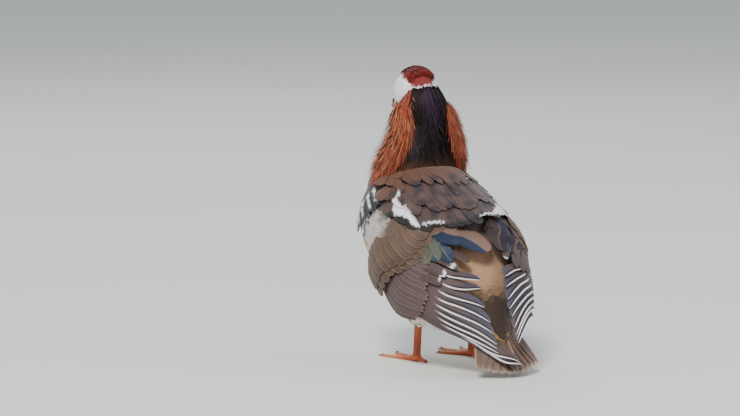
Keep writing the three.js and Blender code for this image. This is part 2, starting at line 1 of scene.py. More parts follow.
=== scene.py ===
# %% [markdown]
# A mandarin drake, life size, seen from behind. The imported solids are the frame: they say where each
# part of the bird is. This lesson dresses them. One smooth skin carries the body, and real feathers in
# mesh lie over it in tiers, so that the bird looks right from every side. Everything is worked out in
# millimetres in the frame that the solids' source used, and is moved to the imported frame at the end.

# %% The frame
import math

import bmesh
import bpy
import numpy as np
from mathutils import Matrix, Vector
from mathutils.bvhtree import BVHTree


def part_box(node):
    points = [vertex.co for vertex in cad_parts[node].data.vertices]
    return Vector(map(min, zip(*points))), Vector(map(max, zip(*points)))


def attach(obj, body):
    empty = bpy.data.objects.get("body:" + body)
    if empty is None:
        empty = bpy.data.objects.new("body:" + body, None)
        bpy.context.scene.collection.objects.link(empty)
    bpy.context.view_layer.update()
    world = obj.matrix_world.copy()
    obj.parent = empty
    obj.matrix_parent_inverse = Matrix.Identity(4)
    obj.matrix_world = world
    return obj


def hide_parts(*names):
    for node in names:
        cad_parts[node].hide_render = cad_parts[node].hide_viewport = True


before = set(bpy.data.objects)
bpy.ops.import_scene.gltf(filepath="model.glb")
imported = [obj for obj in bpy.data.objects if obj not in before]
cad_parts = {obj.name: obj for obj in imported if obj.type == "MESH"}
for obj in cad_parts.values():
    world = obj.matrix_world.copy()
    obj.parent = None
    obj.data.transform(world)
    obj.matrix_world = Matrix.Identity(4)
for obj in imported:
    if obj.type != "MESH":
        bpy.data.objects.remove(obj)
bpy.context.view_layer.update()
print("solids:", sorted(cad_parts))

# %% [markdown]
# The head is turned a little to the bird's right, as in the solids. The eyes are plain balls, so their
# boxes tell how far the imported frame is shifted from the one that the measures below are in.

# %% Turned head and shift of the frame
MM = 0.001
HEAD_TURN = math.radians(-12)
HEAD_PIVOT = np.array([0, 36.0, 0])
EYE_ACROSS = 16.4
EYE_RADIUS = 4.2
HEAD_MIDDLE = -2.0
EYE_PLACES = {-1: np.array([HEAD_MIDDLE - EYE_ACROSS, 55.5, 253]),
              1: np.array([HEAD_MIDDLE + EYE_ACROSS, 55.5, 253])}


def turned(places, turn=HEAD_TURN):
    """Turns places about the neck, to the bird's right for the head's own turn."""
    spin = np.array(Matrix.Rotation(turn, 3, "Z"))
    return (np.asarray(places) - HEAD_PIVOT) @ spin.T + HEAD_PIVOT


def turned_way(ways):
    """Turns ways, which have no place of their own, as the head is turned."""
    return turned(ways + HEAD_PIVOT) - HEAD_PIVOT


def eye_middle():
    """The point half-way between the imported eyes, in millimetres."""
    corners = [c for word in ("left", "right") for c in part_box("eye_" + word)]
    return np.mean([np.array(c) for c in corners], axis=0) / MM


SHIFT = eye_middle() - turned(np.mean(list(EYE_PLACES.values()), axis=0))
print("shift of the frame, mm:", SHIFT.round(2))


def packed(places):
    """Millimetres in the measures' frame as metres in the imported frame."""
    return (np.asarray(places) + SHIFT) * MM


# %% [markdown]
# The camera stands behind the bird and to its left, a little above it, far enough away that the picture
# is nearly without perspective, as with the long lens of the photograph.

# %% Camera
AZIMUTH = math.radians(-30)
ELEVATION = math.radians(7)
CAMERA_DISTANCE = 3.5
FRAME_WIDTH = 0.74
SENSOR = 36.0
AIM = packed([-49.8, 49.7, 147.9])


def make_camera():
    """A camera that sees a frame of FRAME_WIDTH metres at the bird's distance."""
    lens = bpy.data.cameras.new("camera")
    lens.sensor_width = SENSOR
    lens.lens = SENSOR * CAMERA_DISTANCE / FRAME_WIDTH
    camera = bpy.data.objects.new("camera", lens)
    back = Vector((math.sin(AZIMUTH) * math.cos(ELEVATION),
                   -math.cos(AZIMUTH) * math.cos(ELEVATION), math.sin(ELEVATION)))
    camera.location = Vector(AIM) + back * CAMERA_DISTANCE
    camera.rotation_euler = back.to_track_quat("Z", "Y").to_euler()
    bpy.context.scene.collection.objects.link(camera)
    return camera


bpy.context.scene.camera = make_camera()
print("camera at", [round(c, 3) for c in bpy.context.scene.camera.location])

# %% [markdown]
# Colours are named as a bird-watcher would name them. A screen colour becomes linear light, which is
# what shaders mix.

# %% Colours
TONE_CURVE = 1.28


def srgb(red, green, blue):
    """A screen colour, 0 to 255, as linear light, darker in the mid tones that the picture lifts."""
    share = (np.array([red, green, blue]) / 255) ** TONE_CURVE
    return np.where(share <= 0.04045, share / 12.92, ((share + 0.055) / 1.055) ** 2.4)


CHESTNUT = srgb(148, 56, 46)
CHESTNUT_DARK = srgb(92, 34, 30)
WHITE = srgb(246, 245, 248)
FOREHEAD = srgb(32, 40, 38)
# Purple of the crest: partly its own gloss colour, partly painted sheen.
MANE_PURPLE_SHEEN = srgb(62, 42, 64)
MANE_BLACK = srgb(30, 20, 19)
MANE_GREY = srgb(84, 84, 96)
RUFF_ROOT = srgb(100, 38, 22)
RUFF_RUST = srgb(184, 80, 42)
RUFF_PALE = srgb(232, 176, 134)
LORES = srgb(226, 190, 158)
THROAT = srgb(128, 62, 44)
MAROON = srgb(96, 34, 46)
COLLAR = srgb(122, 80, 48)
MANTLE = srgb(106, 84, 78)
MANTLE_DARK = srgb(58, 45, 56)
BLACK = srgb(18, 16, 20)
FLANK_GREY = srgb(204, 199, 192)
FLANK_BUFF = srgb(204, 168, 112)
BELLY = srgb(236, 232, 224)
RUMP = srgb(190, 154, 124)
RUMP_DARK = srgb(84, 66, 54)
COVERT = srgb(122, 99, 83)
COVERT_DARK = srgb(76, 59, 52)
OLIVE = srgb(104, 104, 90)
BLUE = srgb(56, 66, 90)
TEAL = srgb(48, 68, 78)
TERTIAL = srgb(146, 121, 110)
PRIMARY = srgb(112, 95, 93)
PRIMARY_TIP = srgb(96, 94, 108)
EDGE_WHITE = srgb(236, 232, 236)
EDGE_BUFF = srgb(176, 152, 134)
TAIL_BROWN = srgb(128, 105, 94)
TAIL_EDGE = srgb(206, 180, 160)

# %% [markdown]
# A form is a rounded body swept along stations: the middle, the half-width and the half-depth of the
# bird there. The solids were made of the same forms, so a place on a form is a place on the solids.

# %% Forms


def unit(v):
    """Vectors scaled to length one."""
    return v / np.maximum(np.linalg.norm(v, axis=-1, keepdims=True), 1e-9)


def dot(a, b):
    """Dot products that keep their axis."""
    return np.sum(a * b, axis=-1, keepdims=True)


def smooth(low, high, value):
    """0 below low, 1 above high, and a soft step between."""
    t = np.clip((np.asarray(value, float) - low) / (high - low), 0, 1)
    return t * t * (3 - 2 * t)


class Form:
    """A body swept along rows of x, y, z, half-width and half-depth."""

    def __init__(self, rows):
        self.rows = np.array(rows, float)
        self.last = len(rows) - 1

    def along(self, k):
        """The five values at station k, on a smooth curve through the rows."""
        rows = self.rows
        drawn = np.vstack([2 * rows[0] - rows[1], rows, 2 * rows[-1] - rows[-2]])
        k = np.clip(np.asarray(k, float), 0, self.last)
        first = np.minimum(k.astype(int), self.last - 1)
        share = (k - first)[..., None]
        before, start, end, after = (drawn[first + i] for i in range(4))
        leave = (end - before) / 2
        arrive = (after - start) / 2
        return (start + share * leave + share**2 * (3 * (end - start) - 2 * leave - arrive)
                + share**3 * (2 * (start - end) + leave + arrive))

    def axes(self, k):
        """The way along the body at station k, the way to its right, and the way out of its back."""
        step = 0.002
        way = unit(self.along(k + step)[..., :3] - self.along(k - step)[..., :3])
        side = unit(np.array([1.0, 0, 0]) - way * way[..., :1])
        return way, side, np.cross(way, side)

    def point(self, k, angle, height=0.0, share=1.0):
        """The place at station k and an angle in degrees from the back, raised off the surface."""
        k, angle, height, share = np.broadcast_arrays(k, np.radians(angle), height, share)
        row = self.along(k)
        side, up = self.axes(k)[1:]
        tall = share * (row[..., 4] + height) * np.cos(angle)
        wide = share * (row[..., 3] + height) * np.sin(angle)
        return row[..., :3] + up * tall[..., None] + side * wide[..., None]

    def out(self, k, angle):
        """The way out of the surface there."""
        k, angle = np.broadcast_arrays(k, np.radians(angle))
        side, up = self.axes(k)[1:]
        return up * np.cos(angle)[..., None] + side * np.sin(angle)[..., None]

    def locate(self, places):
        """The station and the angle of each place."""
        stations = np.linspace(0, self.last, 160)
        rows = self.along(stations)
        ways, sides, ups = self.axes(stations)
        gaps = np.asarray(places)[:, None] - rows[:, :3]
        far = np.abs(dot(gaps, ways)[..., 0]) + 0.04 * np.linalg.norm(gaps, axis=-1)
        at = np.argmin(far, axis=1)
        gap = gaps[np.arange(len(at)), at]
        across = dot(gap, sides[at])[:, 0] / rows[at, 3]
        tall = dot(gap, ups[at])[:, 0] / rows[at, 4]
        return stations[at], np.degrees(np.arctan2(across, tall))


# Bulges of the folded wings: station, angle, how long, how wide and how high each is.
BULGES = [(5.0, 62, 1.2, 38, 6), (6.9, -104, 1.6, 26, 4)]


class Folded(Form):
    """The surface of the folded wings, which bulges at the right shoulder and low on the left side."""

    def point(self, k, angle, height=0.0, share=1.0):
        """As for a plain form, with the bulges under all that lies above the wing's depth."""
        k, angle, height = np.broadcast_arrays(np.asarray(k, float), angle, height)
        swell = sum(rise * np.exp(-(((k - at) / long) ** 2) - ((angle - turn) / wide) ** 2)
                    for at, turn, long, wide, rise in BULGES)
        return super().point(k, angle, height + swell * np.clip((height + 12) / 9, 0, 1), share)


def centred(rows, x=0.0):
    """Rows of y, z, half-width, half-depth, all at the same x."""
    return [(x, *row) for row in rows]


HEAD = Form(centred([(82, 251, 6, 6), (77, 253, 9.5, 10), (69, 256.5, 14, 15.5), (59, 260.5, 18.5, 21),
                     (47, 263, 21, 24.5), (34, 264, 20.5, 24.5), (23, 263, 15, 18)], HEAD_MIDDLE))
NECK = Form(centred([(41, 266, 20, 19), (37, 248, 25, 21.5), (36, 230, 25, 19.5), (36, 214, 30, 20.5),
                     (39, 198, 36, 25), (43, 182, 45, 34), (47, 164, 50, 42), (48, 146, 44, 38)]))
TRUNK = Form(centred([(88, 168, 20, 20), (80, 163, 32, 30), (66, 154, 50, 44), (44, 139, 61, 54),
                      (14, 118, 66, 60), (-17, 94.5, 66.5, 60.5), (-45, 78, 60, 52.5), (-68, 68, 47, 40),
                      (-86, 58, 34, 28), (-99, 48, 24, 19), (-112, 37, 14, 10), (-122, 27, 7, 4)]))
WINGS = Folded(centred([(88, 168, 26, 26), (80, 163, 38, 36), (66, 154, 56, 50), (44, 139, 67, 60),
                      (14, 118, 73, 66), (-17, 94.5, 75, 68), (-45, 77.5, 72, 63), (-70, 67, 64, 53),
                      (-92, 54, 53, 42), (-112, 40, 37, 28), (-131, 24, 22, 15), (-146, 10, 8, 5)]))
BILL = Form(centred([(77, 252, 8, 8.2), (85, 249.5, 7, 6.6), (93, 247, 6.4, 5), (102, 244.5, 6.3, 3.8),
                     (110, 242.5, 4, 2.6)], HEAD_MIDDLE))
WHISKER_ROWS = [(15, 40, 255, 6, 10), (24, 34, 243, 8, 13), (28.5, 29, 224, 9, 14), (34.5, 32, 206, 10, 15),
                (41, 40, 189, 8, 14), (45, 50, 173, 3, 8)]
WHISKER_SHIFT = 1.5
WHISKERS = {side: Form([(WHISKER_SHIFT + side * x, *rest) for x, *rest in WHISKER_ROWS]) for side in (-1, 1)}
THIGHS = {side: (np.array([side * 30.0, -15, 58]), np.array([14.0, 19, 24])) for side in (-1, 1)}
print("body length along its axis, mm:", round(float(np.ptp(TRUNK.rows[:, 1])), 1))

# %% [markdown]
# A feather's place is a way over a surface. The tail has no body of its own: its surface is a fan that
# spreads from the rump, with its edges bent down.

# %% The tail's fan
TAIL_ROOT = np.array([0, -80.0, 80])
TAIL_WAY = unit(np.array([0.01, -0.65, -0.76]))
TAIL_LENGTH = 100.0
TAIL_DROOP = 0.005


class Fan:
    """The tail's surface, where k is the distance from the root and the angle is the fan's own."""

    side = unit(np.array([1.0, 0, 0]) - TAIL_WAY * TAIL_WAY[0])
    up = np.cross(TAIL_WAY, unit(np.array([1.0, 0, 0]) - TAIL_WAY * TAIL_WAY[0]))

    def point(self, k, angle, height=0.0):
        """The place k millimetres down the tail."""
        k, angle, height = np.broadcast_arrays(k, np.radians(angle), height)
        across = k * np.sin(angle)
        drop = height - TAIL_DROOP * across**2
        return (TAIL_ROOT + TAIL_WAY * (k * np.cos(angle))[..., None] + self.side * across[..., None]
                + self.up * drop[..., None])

    def out(self, k, angle):
        """The way out of the fan's upper face."""
        k, angle = np.broadcast_arrays(k, np.radians(angle))
        lean = 2 * TAIL_DROOP * k * np.sin(angle)
        return unit(self.up + self.side * lean[..., None])


TAIL = Fan()

# %% [markdown]
# Many feathers are one mesh. Each feather is a thin closed sheet: rings of corners down its shaft, the
# upper face first and the lower face after it. Operators would take minutes for thousands of them, so
# the joined mesh is filled from arrays. Every feather carries its colours in an attribute, a map across
# its two webs for the barbs, and a patch of its own in the bake map.

# %% A mesh of many feathers
UNDERSIDE_SHADE = 0.9
COAT_COLUMNS = [-1, 0, 1]
BAKE_PATCH = 0.003


def ring_faces(rows, ring):
    """Corners of the faces of one feather, and where each corner lies on its small bake patch."""
    faces = []
    patch = []
    for i in range(rows - 1):
        for r in range(ring):
            after = (r + 1) % ring
            faces.append([i * ring + r, i * ring + after, (i + 1) * ring + after, (i + 1) * ring + r])
            left, right = r / ring, (r + 1) / ring
            low, high = i / (rows - 1), (i + 1) / (rows - 1)
            patch += [(left, low), (right, low), (right, high), (left, high)]
    faces.append(list(range(ring))[::-1])
    patch += [(r / ring, 0.0) for r in range(ring)][::-1]
    faces.append([(rows - 1) * ring + r for r in range(ring)])
    patch += [(r / ring, 1.0) for r in range(ring)]
    return faces, np.array(patch)


def fill_mesh(name, corners, faces, count):
    """A mesh of count copies of a set of faces, each over its own block of corners."""
    mesh = bpy.data.meshes.new(name)
    block = len(corners) // count
    links = np.concatenate(faces)
    every = (links[None] + block * np.arange(count)[:, None]).ravel()
    totals = np.tile([len(f) for f in faces], count)
    mesh.vertices.add(len(corners))
    mesh.vertices.foreach_set("co", packed(corners).astype(np.float32).ravel())
    mesh.loops.add(len(every))
    mesh.loops.foreach_set("vertex_index", every.astype(np.int32))
    mesh.polygons.add(len(totals))
    mesh.polygons.foreach_set("loop_start", (np.cumsum(totals) - totals).astype(np.int32))
    mesh.polygons.foreach_set("loop_total", totals.astype(np.int32))
    mesh.update(calc_edges=True)
    shade_smooth(mesh)
    return mesh


def shade_smooth(mesh):
    """Shades all faces as parts of one rounded surface."""
    mesh.polygons.foreach_set("use_smooth", np.ones(len(mesh.polygons), bool))


def add_map(mesh, name, places):
    """Adds a UV map from one place for each corner of each face."""
    layer = mesh.uv_layers.new(name=name)
    layer.data.foreach_set("uv", places.astype(np.float32).ravel())


def tint_mesh(mesh, colours):
    """Stores a colour for each vertex."""
    tint = mesh.color_attributes.new("tint", "FLOAT_COLOR", "POINT")
    full = np.ones((len(colours), 4), np.float32)
    full[:, :3] = np.clip(colours, 0, 1)
    tint.data.foreach_set("color", full.ravel())


def read(items, field, width=1, kind=np.float32):
    """A row of width values for each item of a mesh."""
    values = np.empty(len(items) * width, kind)
    items.foreach_get(field, values)
    return values.reshape(-1, width)

# %% [markdown]
# A finished mesh becomes a piece of the bird here. A still bird has one body, so every piece rides on
# it. Where a piece stands for solids of the frame, they are hidden.

# %% A piece of the bird


def show(name, mesh, finish, nodes=()):
    """Puts a mesh in the scene as a piece of the bird."""
    piece = bpy.data.objects.new(name, mesh)
    bpy.context.scene.collection.objects.link(piece)
    mesh.materials.append(finish)
    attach(piece, "root")
    if nodes:
        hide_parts(*nodes)

# %% [markdown]
# A feather is thinner than paper, so its twisted faces cross each other here and there, and its edges
# would catch the light like tin. Shading it as one soft sheet hides both. Blender can keep a normal
# for every corner of a face, and these are the sheet's own, turned to the side that the face shows.

# %% Soft shading of thin sheets


def ring_of(upper, lower):
    """Values round each ring of a sheet: along its upper face, then back along its lower one."""
    return np.concatenate([upper, lower[:, :, -2:0:-1]], axis=2)


def soften(mesh, top, outs):
    """Shades every face of the sheets like the middle of its sheet, on whichever side the face shows.

    A sheet is so thin that its twisted faces cross, and a normal of the wrong side would look black."""
    bulge = np.cross(np.gradient(top, axis=1), np.gradient(top, axis=2))
    bulge = unit(bulge * np.sign(dot(bulge, outs[:, :, None])) + 0.001 * outs[:, :, None])
    corners = read(mesh.loops, "vertex_index", kind=np.int32)[:, 0]
    sizes = read(mesh.polygons, "loop_total", kind=np.int32)[:, 0]
    facing = np.repeat(read(mesh.polygons, "normal", 3), sizes, axis=0)
    way = ring_of(bulge, bulge).reshape(-1, 3)[corners]
    mesh.normals_split_custom_set((way * np.where(dot(way, facing) < 0, -1.0, 1.0)).astype(np.float32))

# %% [markdown]
# Now the feathers themselves. Each has a shaft, two webs that spread from it and may sink or bow, and
# a thickness that thins to the tip. The colours come from a function, so that each kind of feather
# brings its own.

# %% Feathers as one piece


def feathers(name, finish, shafts, outs, reach, paint, patches, side=1, columns=COAT_COLUMNS,
             thick=0.3, tilt=0.0, bow=0.0, quill=0.0, patch=BAKE_PATCH, nodes=()):
    """Shows feathers as one piece, with lengths in millimetres.

    shafts and outs are (count, rows, 3): places down each shaft and the way out of the coat there.
    reach is (count, rows), or (count, rows, 2) where the outer and the inner web differ in width. side
    is -1 or 1 for each feather. tilt sinks the inner web, bow bends both webs down, quill raises the
    shaft. paint(across, along, index, spots) gives the colours, with across from -1 on the outer edge
    to 1 and spots the places in millimetres."""
    count, rows = shafts.shape[:2]
    if reach.ndim == 2:
        reach = np.stack([reach, reach], axis=-1)
    place = np.array(columns, float)
    ways = unit(np.gradient(shafts, axis=1))
    outs = unit(outs - ways * dot(outs, ways))
    rights = np.cross(ways, outs)
    side = np.broadcast_to(np.asarray(side, float), (count,))[:, None, None]
    across = np.broadcast_to(side * place, (count, rows, len(place)))
    spread = np.where(across < 0, reach[..., :1], reach[..., 1:]) * across
    taper = 1 - 0.6 * np.linspace(0, 1, rows)[None, :, None]
    half = thick / 2 * taper * (1 - 0.7 * np.abs(place) ** 3)
    rise = -tilt * spread - bow * spread**2
    ridge = quill * taper * np.exp(-((across / 0.07) ** 2))
    sheet = shafts[:, :, None] + rights[:, :, None] * (side * spread)[..., None]
    top = sheet + outs[:, :, None] * (rise + half + ridge)[..., None]
    low = sheet + outs[:, :, None] * (rise - half)[..., None]
    share = np.broadcast_to(np.linspace(0, 1, rows)[None, :, None], across.shape)
    index = np.broadcast_to(np.arange(count)[:, None, None], across.shape)
    colours = paint(across, share, index, sheet)
    corners = ring_of(top, low)
    faces, local = ring_faces(rows, corners.shape[2])
    mesh = fill_mesh(name, corners.reshape(-1, 3), faces, count)
    tint_mesh(mesh, ring_of(colours, colours * UNDERSIDE_SHADE).reshape(-1, 3))
    soften(mesh, top, outs)
    webs = ring_of(across, across).reshape(count, -1)[:, np.concatenate(faces)] / 2 + 0.5
    along = np.broadcast_to(local[:, 1], webs.shape)
    add_map(mesh, "web", np.stack([webs, along], axis=-1))
    add_map(mesh, "OFBake", np.asarray(patches)[:, None] + local[None] * np.asarray(patch))
    show(name, mesh, finish, nodes)

# %% [markdown]
# The bake map is an unwrap of the skin. A small feather has a tiny patch of it at
# its root's place. The few large vanes of a wing row have a map of their own, cut into cells.

# %% Places on the bake map


def bake_places(u, v):
    """Roots' places on the unwrapped skin, kept far enough from the map's edge for their patches."""
    room = 1 - 2 * BAKE_PATCH
    return np.stack([np.clip(u, 0, 1), np.clip(v, 0, 1)], axis=-1) * room


def cells(count):
    """A cell of the bake map for each of a few large vanes, and the size of a cell."""
    columns = max(1, math.ceil(math.sqrt(count / 2)))
    rows = math.ceil(count / columns)
    index = np.arange(count)
    size = np.array([1 / columns, 1 / rows])
    corner = np.stack([index % columns, index // columns], axis=-1) * size
    return corner + 0.03 * size, 0.94 * size


# %% [markdown]
# Feathers that lie in known rows, such as those of the wing, follow a way over a form. A way is a few
# stops of station and angle, and a smooth curve runs through them.

# %% Ways over a surface


def through(values, count):
    """Evenly spaced values on a smooth curve through a few rows of values."""
    values = np.array(values, float)
    curve = Form([list(row) + [0.0] * (5 - len(row)) for row in values])
    return curve.along(np.linspace(0, curve.last, count))[:, :values.shape[1]]


def outline(shape, rows):
    """The share of a feather's full width down its length, from [share of length, width] pairs."""
    points = np.array(shape)
    return np.interp(np.linspace(0, 1, rows), points[:, 0], points[:, 1])


SHAPES = {
    "blade": [(0, 0.5), (0.2, 0.78), (0.35, 0.9), (0.55, 1), (0.7, 0.98), (0.8, 0.88), (0.9, 0.68),
              (0.96, 0.46), (1, 0.16)],
    "round": [(0, 0.5), (0.35, 0.9), (0.6, 1), (0.76, 0.99), (0.86, 0.9), (0.93, 0.74), (0.98, 0.5),
              (1, 0.24)],
    "plump": [(0, 0.6), (0.4, 0.96), (0.66, 1), (0.82, 0.92), (0.92, 0.7), (0.98, 0.4), (1, 0.15)],
    "lock": [(0, 0.6), (0.3, 1), (0.6, 0.8), (0.85, 0.42), (1, 0.06)],
    "body": [(0, 0.45), (0.4, 0.95), (0.7, 1), (0.88, 0.75), (1, 0.3)],
}


def lay_ways(surface, ways, side, heights, rows):
    """Shafts and ways out for a list of ways, with heights as [share of length, height] pairs."""
    shafts = []
    outs = []
    for way, rise in zip(ways, heights):
        k, angle = through(way, rows).T
        height = np.interp(np.linspace(0, 1, rows), [h[0] for h in rise], [h[1] for h in rise])
        shafts.append(surface.point(k, side * angle, height))
        outs.append(surface.out(k, side * angle))
    return np.array(shafts), np.array(outs)


def row_between(ways, count):
    """More ways than the few given, spaced evenly between the first and the last."""
    ways = np.array(ways, float)
    at = np.linspace(0, len(ways) - 1, count)
    first = np.minimum(at.astype(int), len(ways) - 2)
    share = (at - first)[:, None, None]
    return ways[first] * (1 - share) + ways[first + 1] * share


FINE_COLUMNS = [-1, -0.8, -0.55, -0.3, -0.14, -0.06, 0, 0.06, 0.14, 0.3, 0.5, 0.75, 1]

# %% [markdown]
# Every finish is a few nodes joined to one surface shader. Written out, the same lines would come again
# for each of them, so a small class adds and joins the nodes.

# %% Making a finish


class Finish:
    """A material in the making, with a short way to add each kind of node."""

    def __init__(self, name, roughness, settings=None):
        self.material = bpy.data.materials.new(name)
        self.material.use_nodes = True
        self.tree = self.material.node_tree
        self.surface = self.tree.nodes["Principled BSDF"]
        self.fill(self.surface, {"Roughness": roughness, **(settings or {})})

    def fill(self, node, values):
        """Sets the named inputs of a node to values, or joins them to sockets."""
        for word, value in values.items():
            if isinstance(value, bpy.types.NodeSocket):
                self.tree.links.new(value, node.inputs[word])
            else:
                node.inputs[word].default_value = value

    def add(self, kind, values=None, **options):
        """A new node of a kind; returns it."""
        made = self.tree.nodes.new("ShaderNode" + kind)
        for word, value in options.items():
            setattr(made, word, value)
        self.fill(made, values or {})
        return made

    def maths(self, kind, first, second=0.0):
        """An operation on two numbers or sockets."""
        return self.add("Math", {0: first, 1: second}, operation=kind).outputs[0]

    def place(self):
        """The place on the piece."""
        return self.add("TexCoord").outputs["Object"]

    def noise(self, scale, detail=2.0):
        """A soft cloud in the piece's own space."""
        return self.add("TexNoise", {"Vector": self.place(), "Scale": scale, "Detail": detail}).outputs[0]

    def tint(self):
        """The colour stored in the mesh."""
        return self.add("Attribute", attribute_name="tint").outputs["Color"]

    def shaded(self, colour, level):
        """A colour made lighter or darker."""
        return self.add("VectorMath", {0: colour, "Scale": level}, operation="SCALE").outputs[0]

    def ramp(self, share, stops):
        """Colours along a share, from pairs of position and colour."""
        made = self.add("ValToRGB", {0: share})
        elements = made.color_ramp.elements
        elements[0].position, elements[1].position = stops[0][0], stops[-1][0]
        for position, _ in stops[1:-1]:
            elements.new(position)
        for element, (_, colour) in zip(elements, stops):
            element.color = (*colour, 1)
        return made.outputs[0]

    def done(self, colour, height=None, strength=1.0, distance=0.0003):
        """The material, with its colour and with a height that raises its surface."""
        self.fill(self.surface, {"Base Color": colour})
        if height is not None:
            raised = self.add("Bump", {"Strength": strength, "Distance": distance, "Height": height})
            self.fill(self.surface, {"Normal": raised.outputs[0]})
        return self.material

# %% [markdown]
# All feathers share one kind of finish. The colour comes from the attribute. Barbs are fine ribs that
# run slantwise from the shaft, so the map across the webs drives a fold of waves. They darken the
# colour a little and raise the surface a little. A soft noise breaks the colour up, as worn tips do.

# %% Feather finishes


def feather_finish(name, roughness, barbs, contrast, sheen, gloss=0.35, gloss_tint=(1, 1, 1)):
    """Barbed feather over the tint attribute. barbs is how many ribs run down a feather."""
    finish = Finish(name, roughness, {"Specular IOR Level": gloss, "Specular Tint": (*gloss_tint, 1),
                                      "Sheen Weight": sheen, "Sheen Roughness": 0.5})
    web = finish.add("SeparateXYZ", {0: finish.add("UVMap", uv_map="web").outputs[0]})
    from_shaft = finish.maths("ABSOLUTE", finish.maths("SUBTRACT", web.outputs[0], 0.5))
    slant = finish.maths("SUBTRACT", web.outputs[1], finish.maths("MULTIPLY", from_shaft, 0.35))
    wave = finish.maths("SINE", finish.maths("MULTIPLY", slant, barbs * 2 * math.pi))
    cloud = finish.noise(420.0, 3.0)
    ribs = finish.maths("MULTIPLY", wave, contrast / 2)
    grain = finish.maths("MULTIPLY", finish.maths("SUBTRACT", cloud, 0.5), contrast * 3)
    level = finish.maths("ADD", finish.maths("ADD", ribs, grain), 1.0)
    height = finish.maths("ADD", wave, finish.maths("MULTIPLY", cloud, 2.0))
    return finish.done(finish.shaded(finish.tint(), level), height, 0.25, 0.0004)


SOFT_FINISH = feather_finish("soft_feathers", roughness=0.7, barbs=14, contrast=0.14, sheen=0.25)
VANE_FINISH = feather_finish("flight_vanes", roughness=0.5, barbs=90, contrast=0.12, sheen=0.05)
BLUE_FINISH = feather_finish("glossed_vanes", roughness=0.42, barbs=70, contrast=0.1, sheen=0.0,
                             gloss=0.4, gloss_tint=(0.75, 0.85, 1.0))
CREST_FINISH = feather_finish("crest_feathers", roughness=0.5, barbs=10, contrast=0.25, sheen=0.0,
                              gloss=0.22, gloss_tint=(1.0, 0.85, 0.85))
RUFF_FINISH = feather_finish("ruff_feathers", roughness=0.62, barbs=8, contrast=0.25, sheen=0.05)

# %% [markdown]
# Under the feathers is one skin for the whole body. It could be lofted head, neck and trunk apart, but
# their joints would show. Instead balls are drawn out along the forms until they overlap, a voxel remesh
# turns them into one surface, and a smoothing rounds the creases where they meet.

# %% The skin's forms
COAT_DEPTH = 2.4
HEAD_COAT = 1.6
RUFF_CORE = -5.0
SKIN_VOXEL = 0.0019


def add_ball(shell, around=40, rings=28):
    """A unit ball in the shell; returns its vertices and their places."""
    made = bmesh.ops.create_uvsphere(shell, u_segments=around, v_segments=rings, radius=1)
    verts = made["verts"]
    return verts, np.array([v.co for v in verts])


def set_places(verts, places):
    """Moves vertices to places given in millimetres."""
    for vert, place in zip(verts, packed(places)):
        vert.co = place


def egg_places(form, unit_places, grow):
    """Where the vertices of a ball go when it is drawn out along a form."""
    k = form.last * (1 - unit_places[:, 2]) / 2
    near = np.clip(np.minimum(k, form.last - k), 0, 1)
    share = np.sqrt(np.clip(1 - (1 - near) ** 2, 0, 1))
    angle = np.degrees(np.arctan2(unit_places[:, 0], unit_places[:, 1]))
    return form.point(k, angle, grow, share)


def bare(name, shell, soft=False):
    """A mesh from a finished bmesh, its faces turned outwards and, if it is soft, shaded as round."""
    bmesh.ops.recalc_face_normals(shell, faces=shell.faces)
    mesh = bpy.data.meshes.new(name)
    shell.to_mesh(mesh)
    shell.free()
    if soft:
        shade_smooth(mesh)
    return mesh


def as_one_surface(name, mesh, voxel, rounds, factor=0.5):
    """The union of overlapping shells as one smooth surface."""
    holder = bpy.data.objects.new(name, mesh)
    bpy.context.scene.collection.objects.link(holder)
    even = holder.modifiers.new("even", "REMESH")
    even.mode = "VOXEL"
    even.voxel_size = voxel
    soft = holder.modifiers.new("soft", "SMOOTH")
    soft.factor = factor
    soft.iterations = rounds
    bpy.context.view_layer.update()
    made = bpy.data.meshes.new_from_object(holder.evaluated_get(bpy.context.evaluated_depsgraph_get()))
    bpy.data.objects.remove(holder)
    made.name = name
    made.polygons.foreach_set("use_smooth", np.ones(len(made.polygons), bool))
    return made


def skin_shells():
    """Head, neck, trunk, thighs and the cores of both ruffs as overlapping balls."""
    shell = bmesh.new()
    verts, places = add_ball(shell)
    set_places(verts, turned(egg_places(HEAD, places, -HEAD_COAT)))
    for form, grow in ((NECK, -COAT_DEPTH), (TRUNK, -COAT_DEPTH), (WHISKERS[-1], RUFF_CORE),
                       (WHISKERS[1], RUFF_CORE)):
        verts, places = add_ball(shell)
        set_places(verts, egg_places(form, places, grow))
    for middle, size in THIGHS.values():
        verts, places = add_ball(shell)
        set_places(verts, middle + places * (size - COAT_DEPTH))
    return bare("skin_shells", shell)


skin_mesh = as_one_surface("skin", skin_shells(), SKIN_VOXEL, 8)
print("skin faces:", len(skin_mesh.polygons))

# %% [markdown]
# The feathers need to find the skin: the nearest place on it and the way out of it there. A search tree
# gives both. The tree works in millimetres, like all the measures here.

# %% Finding the skin


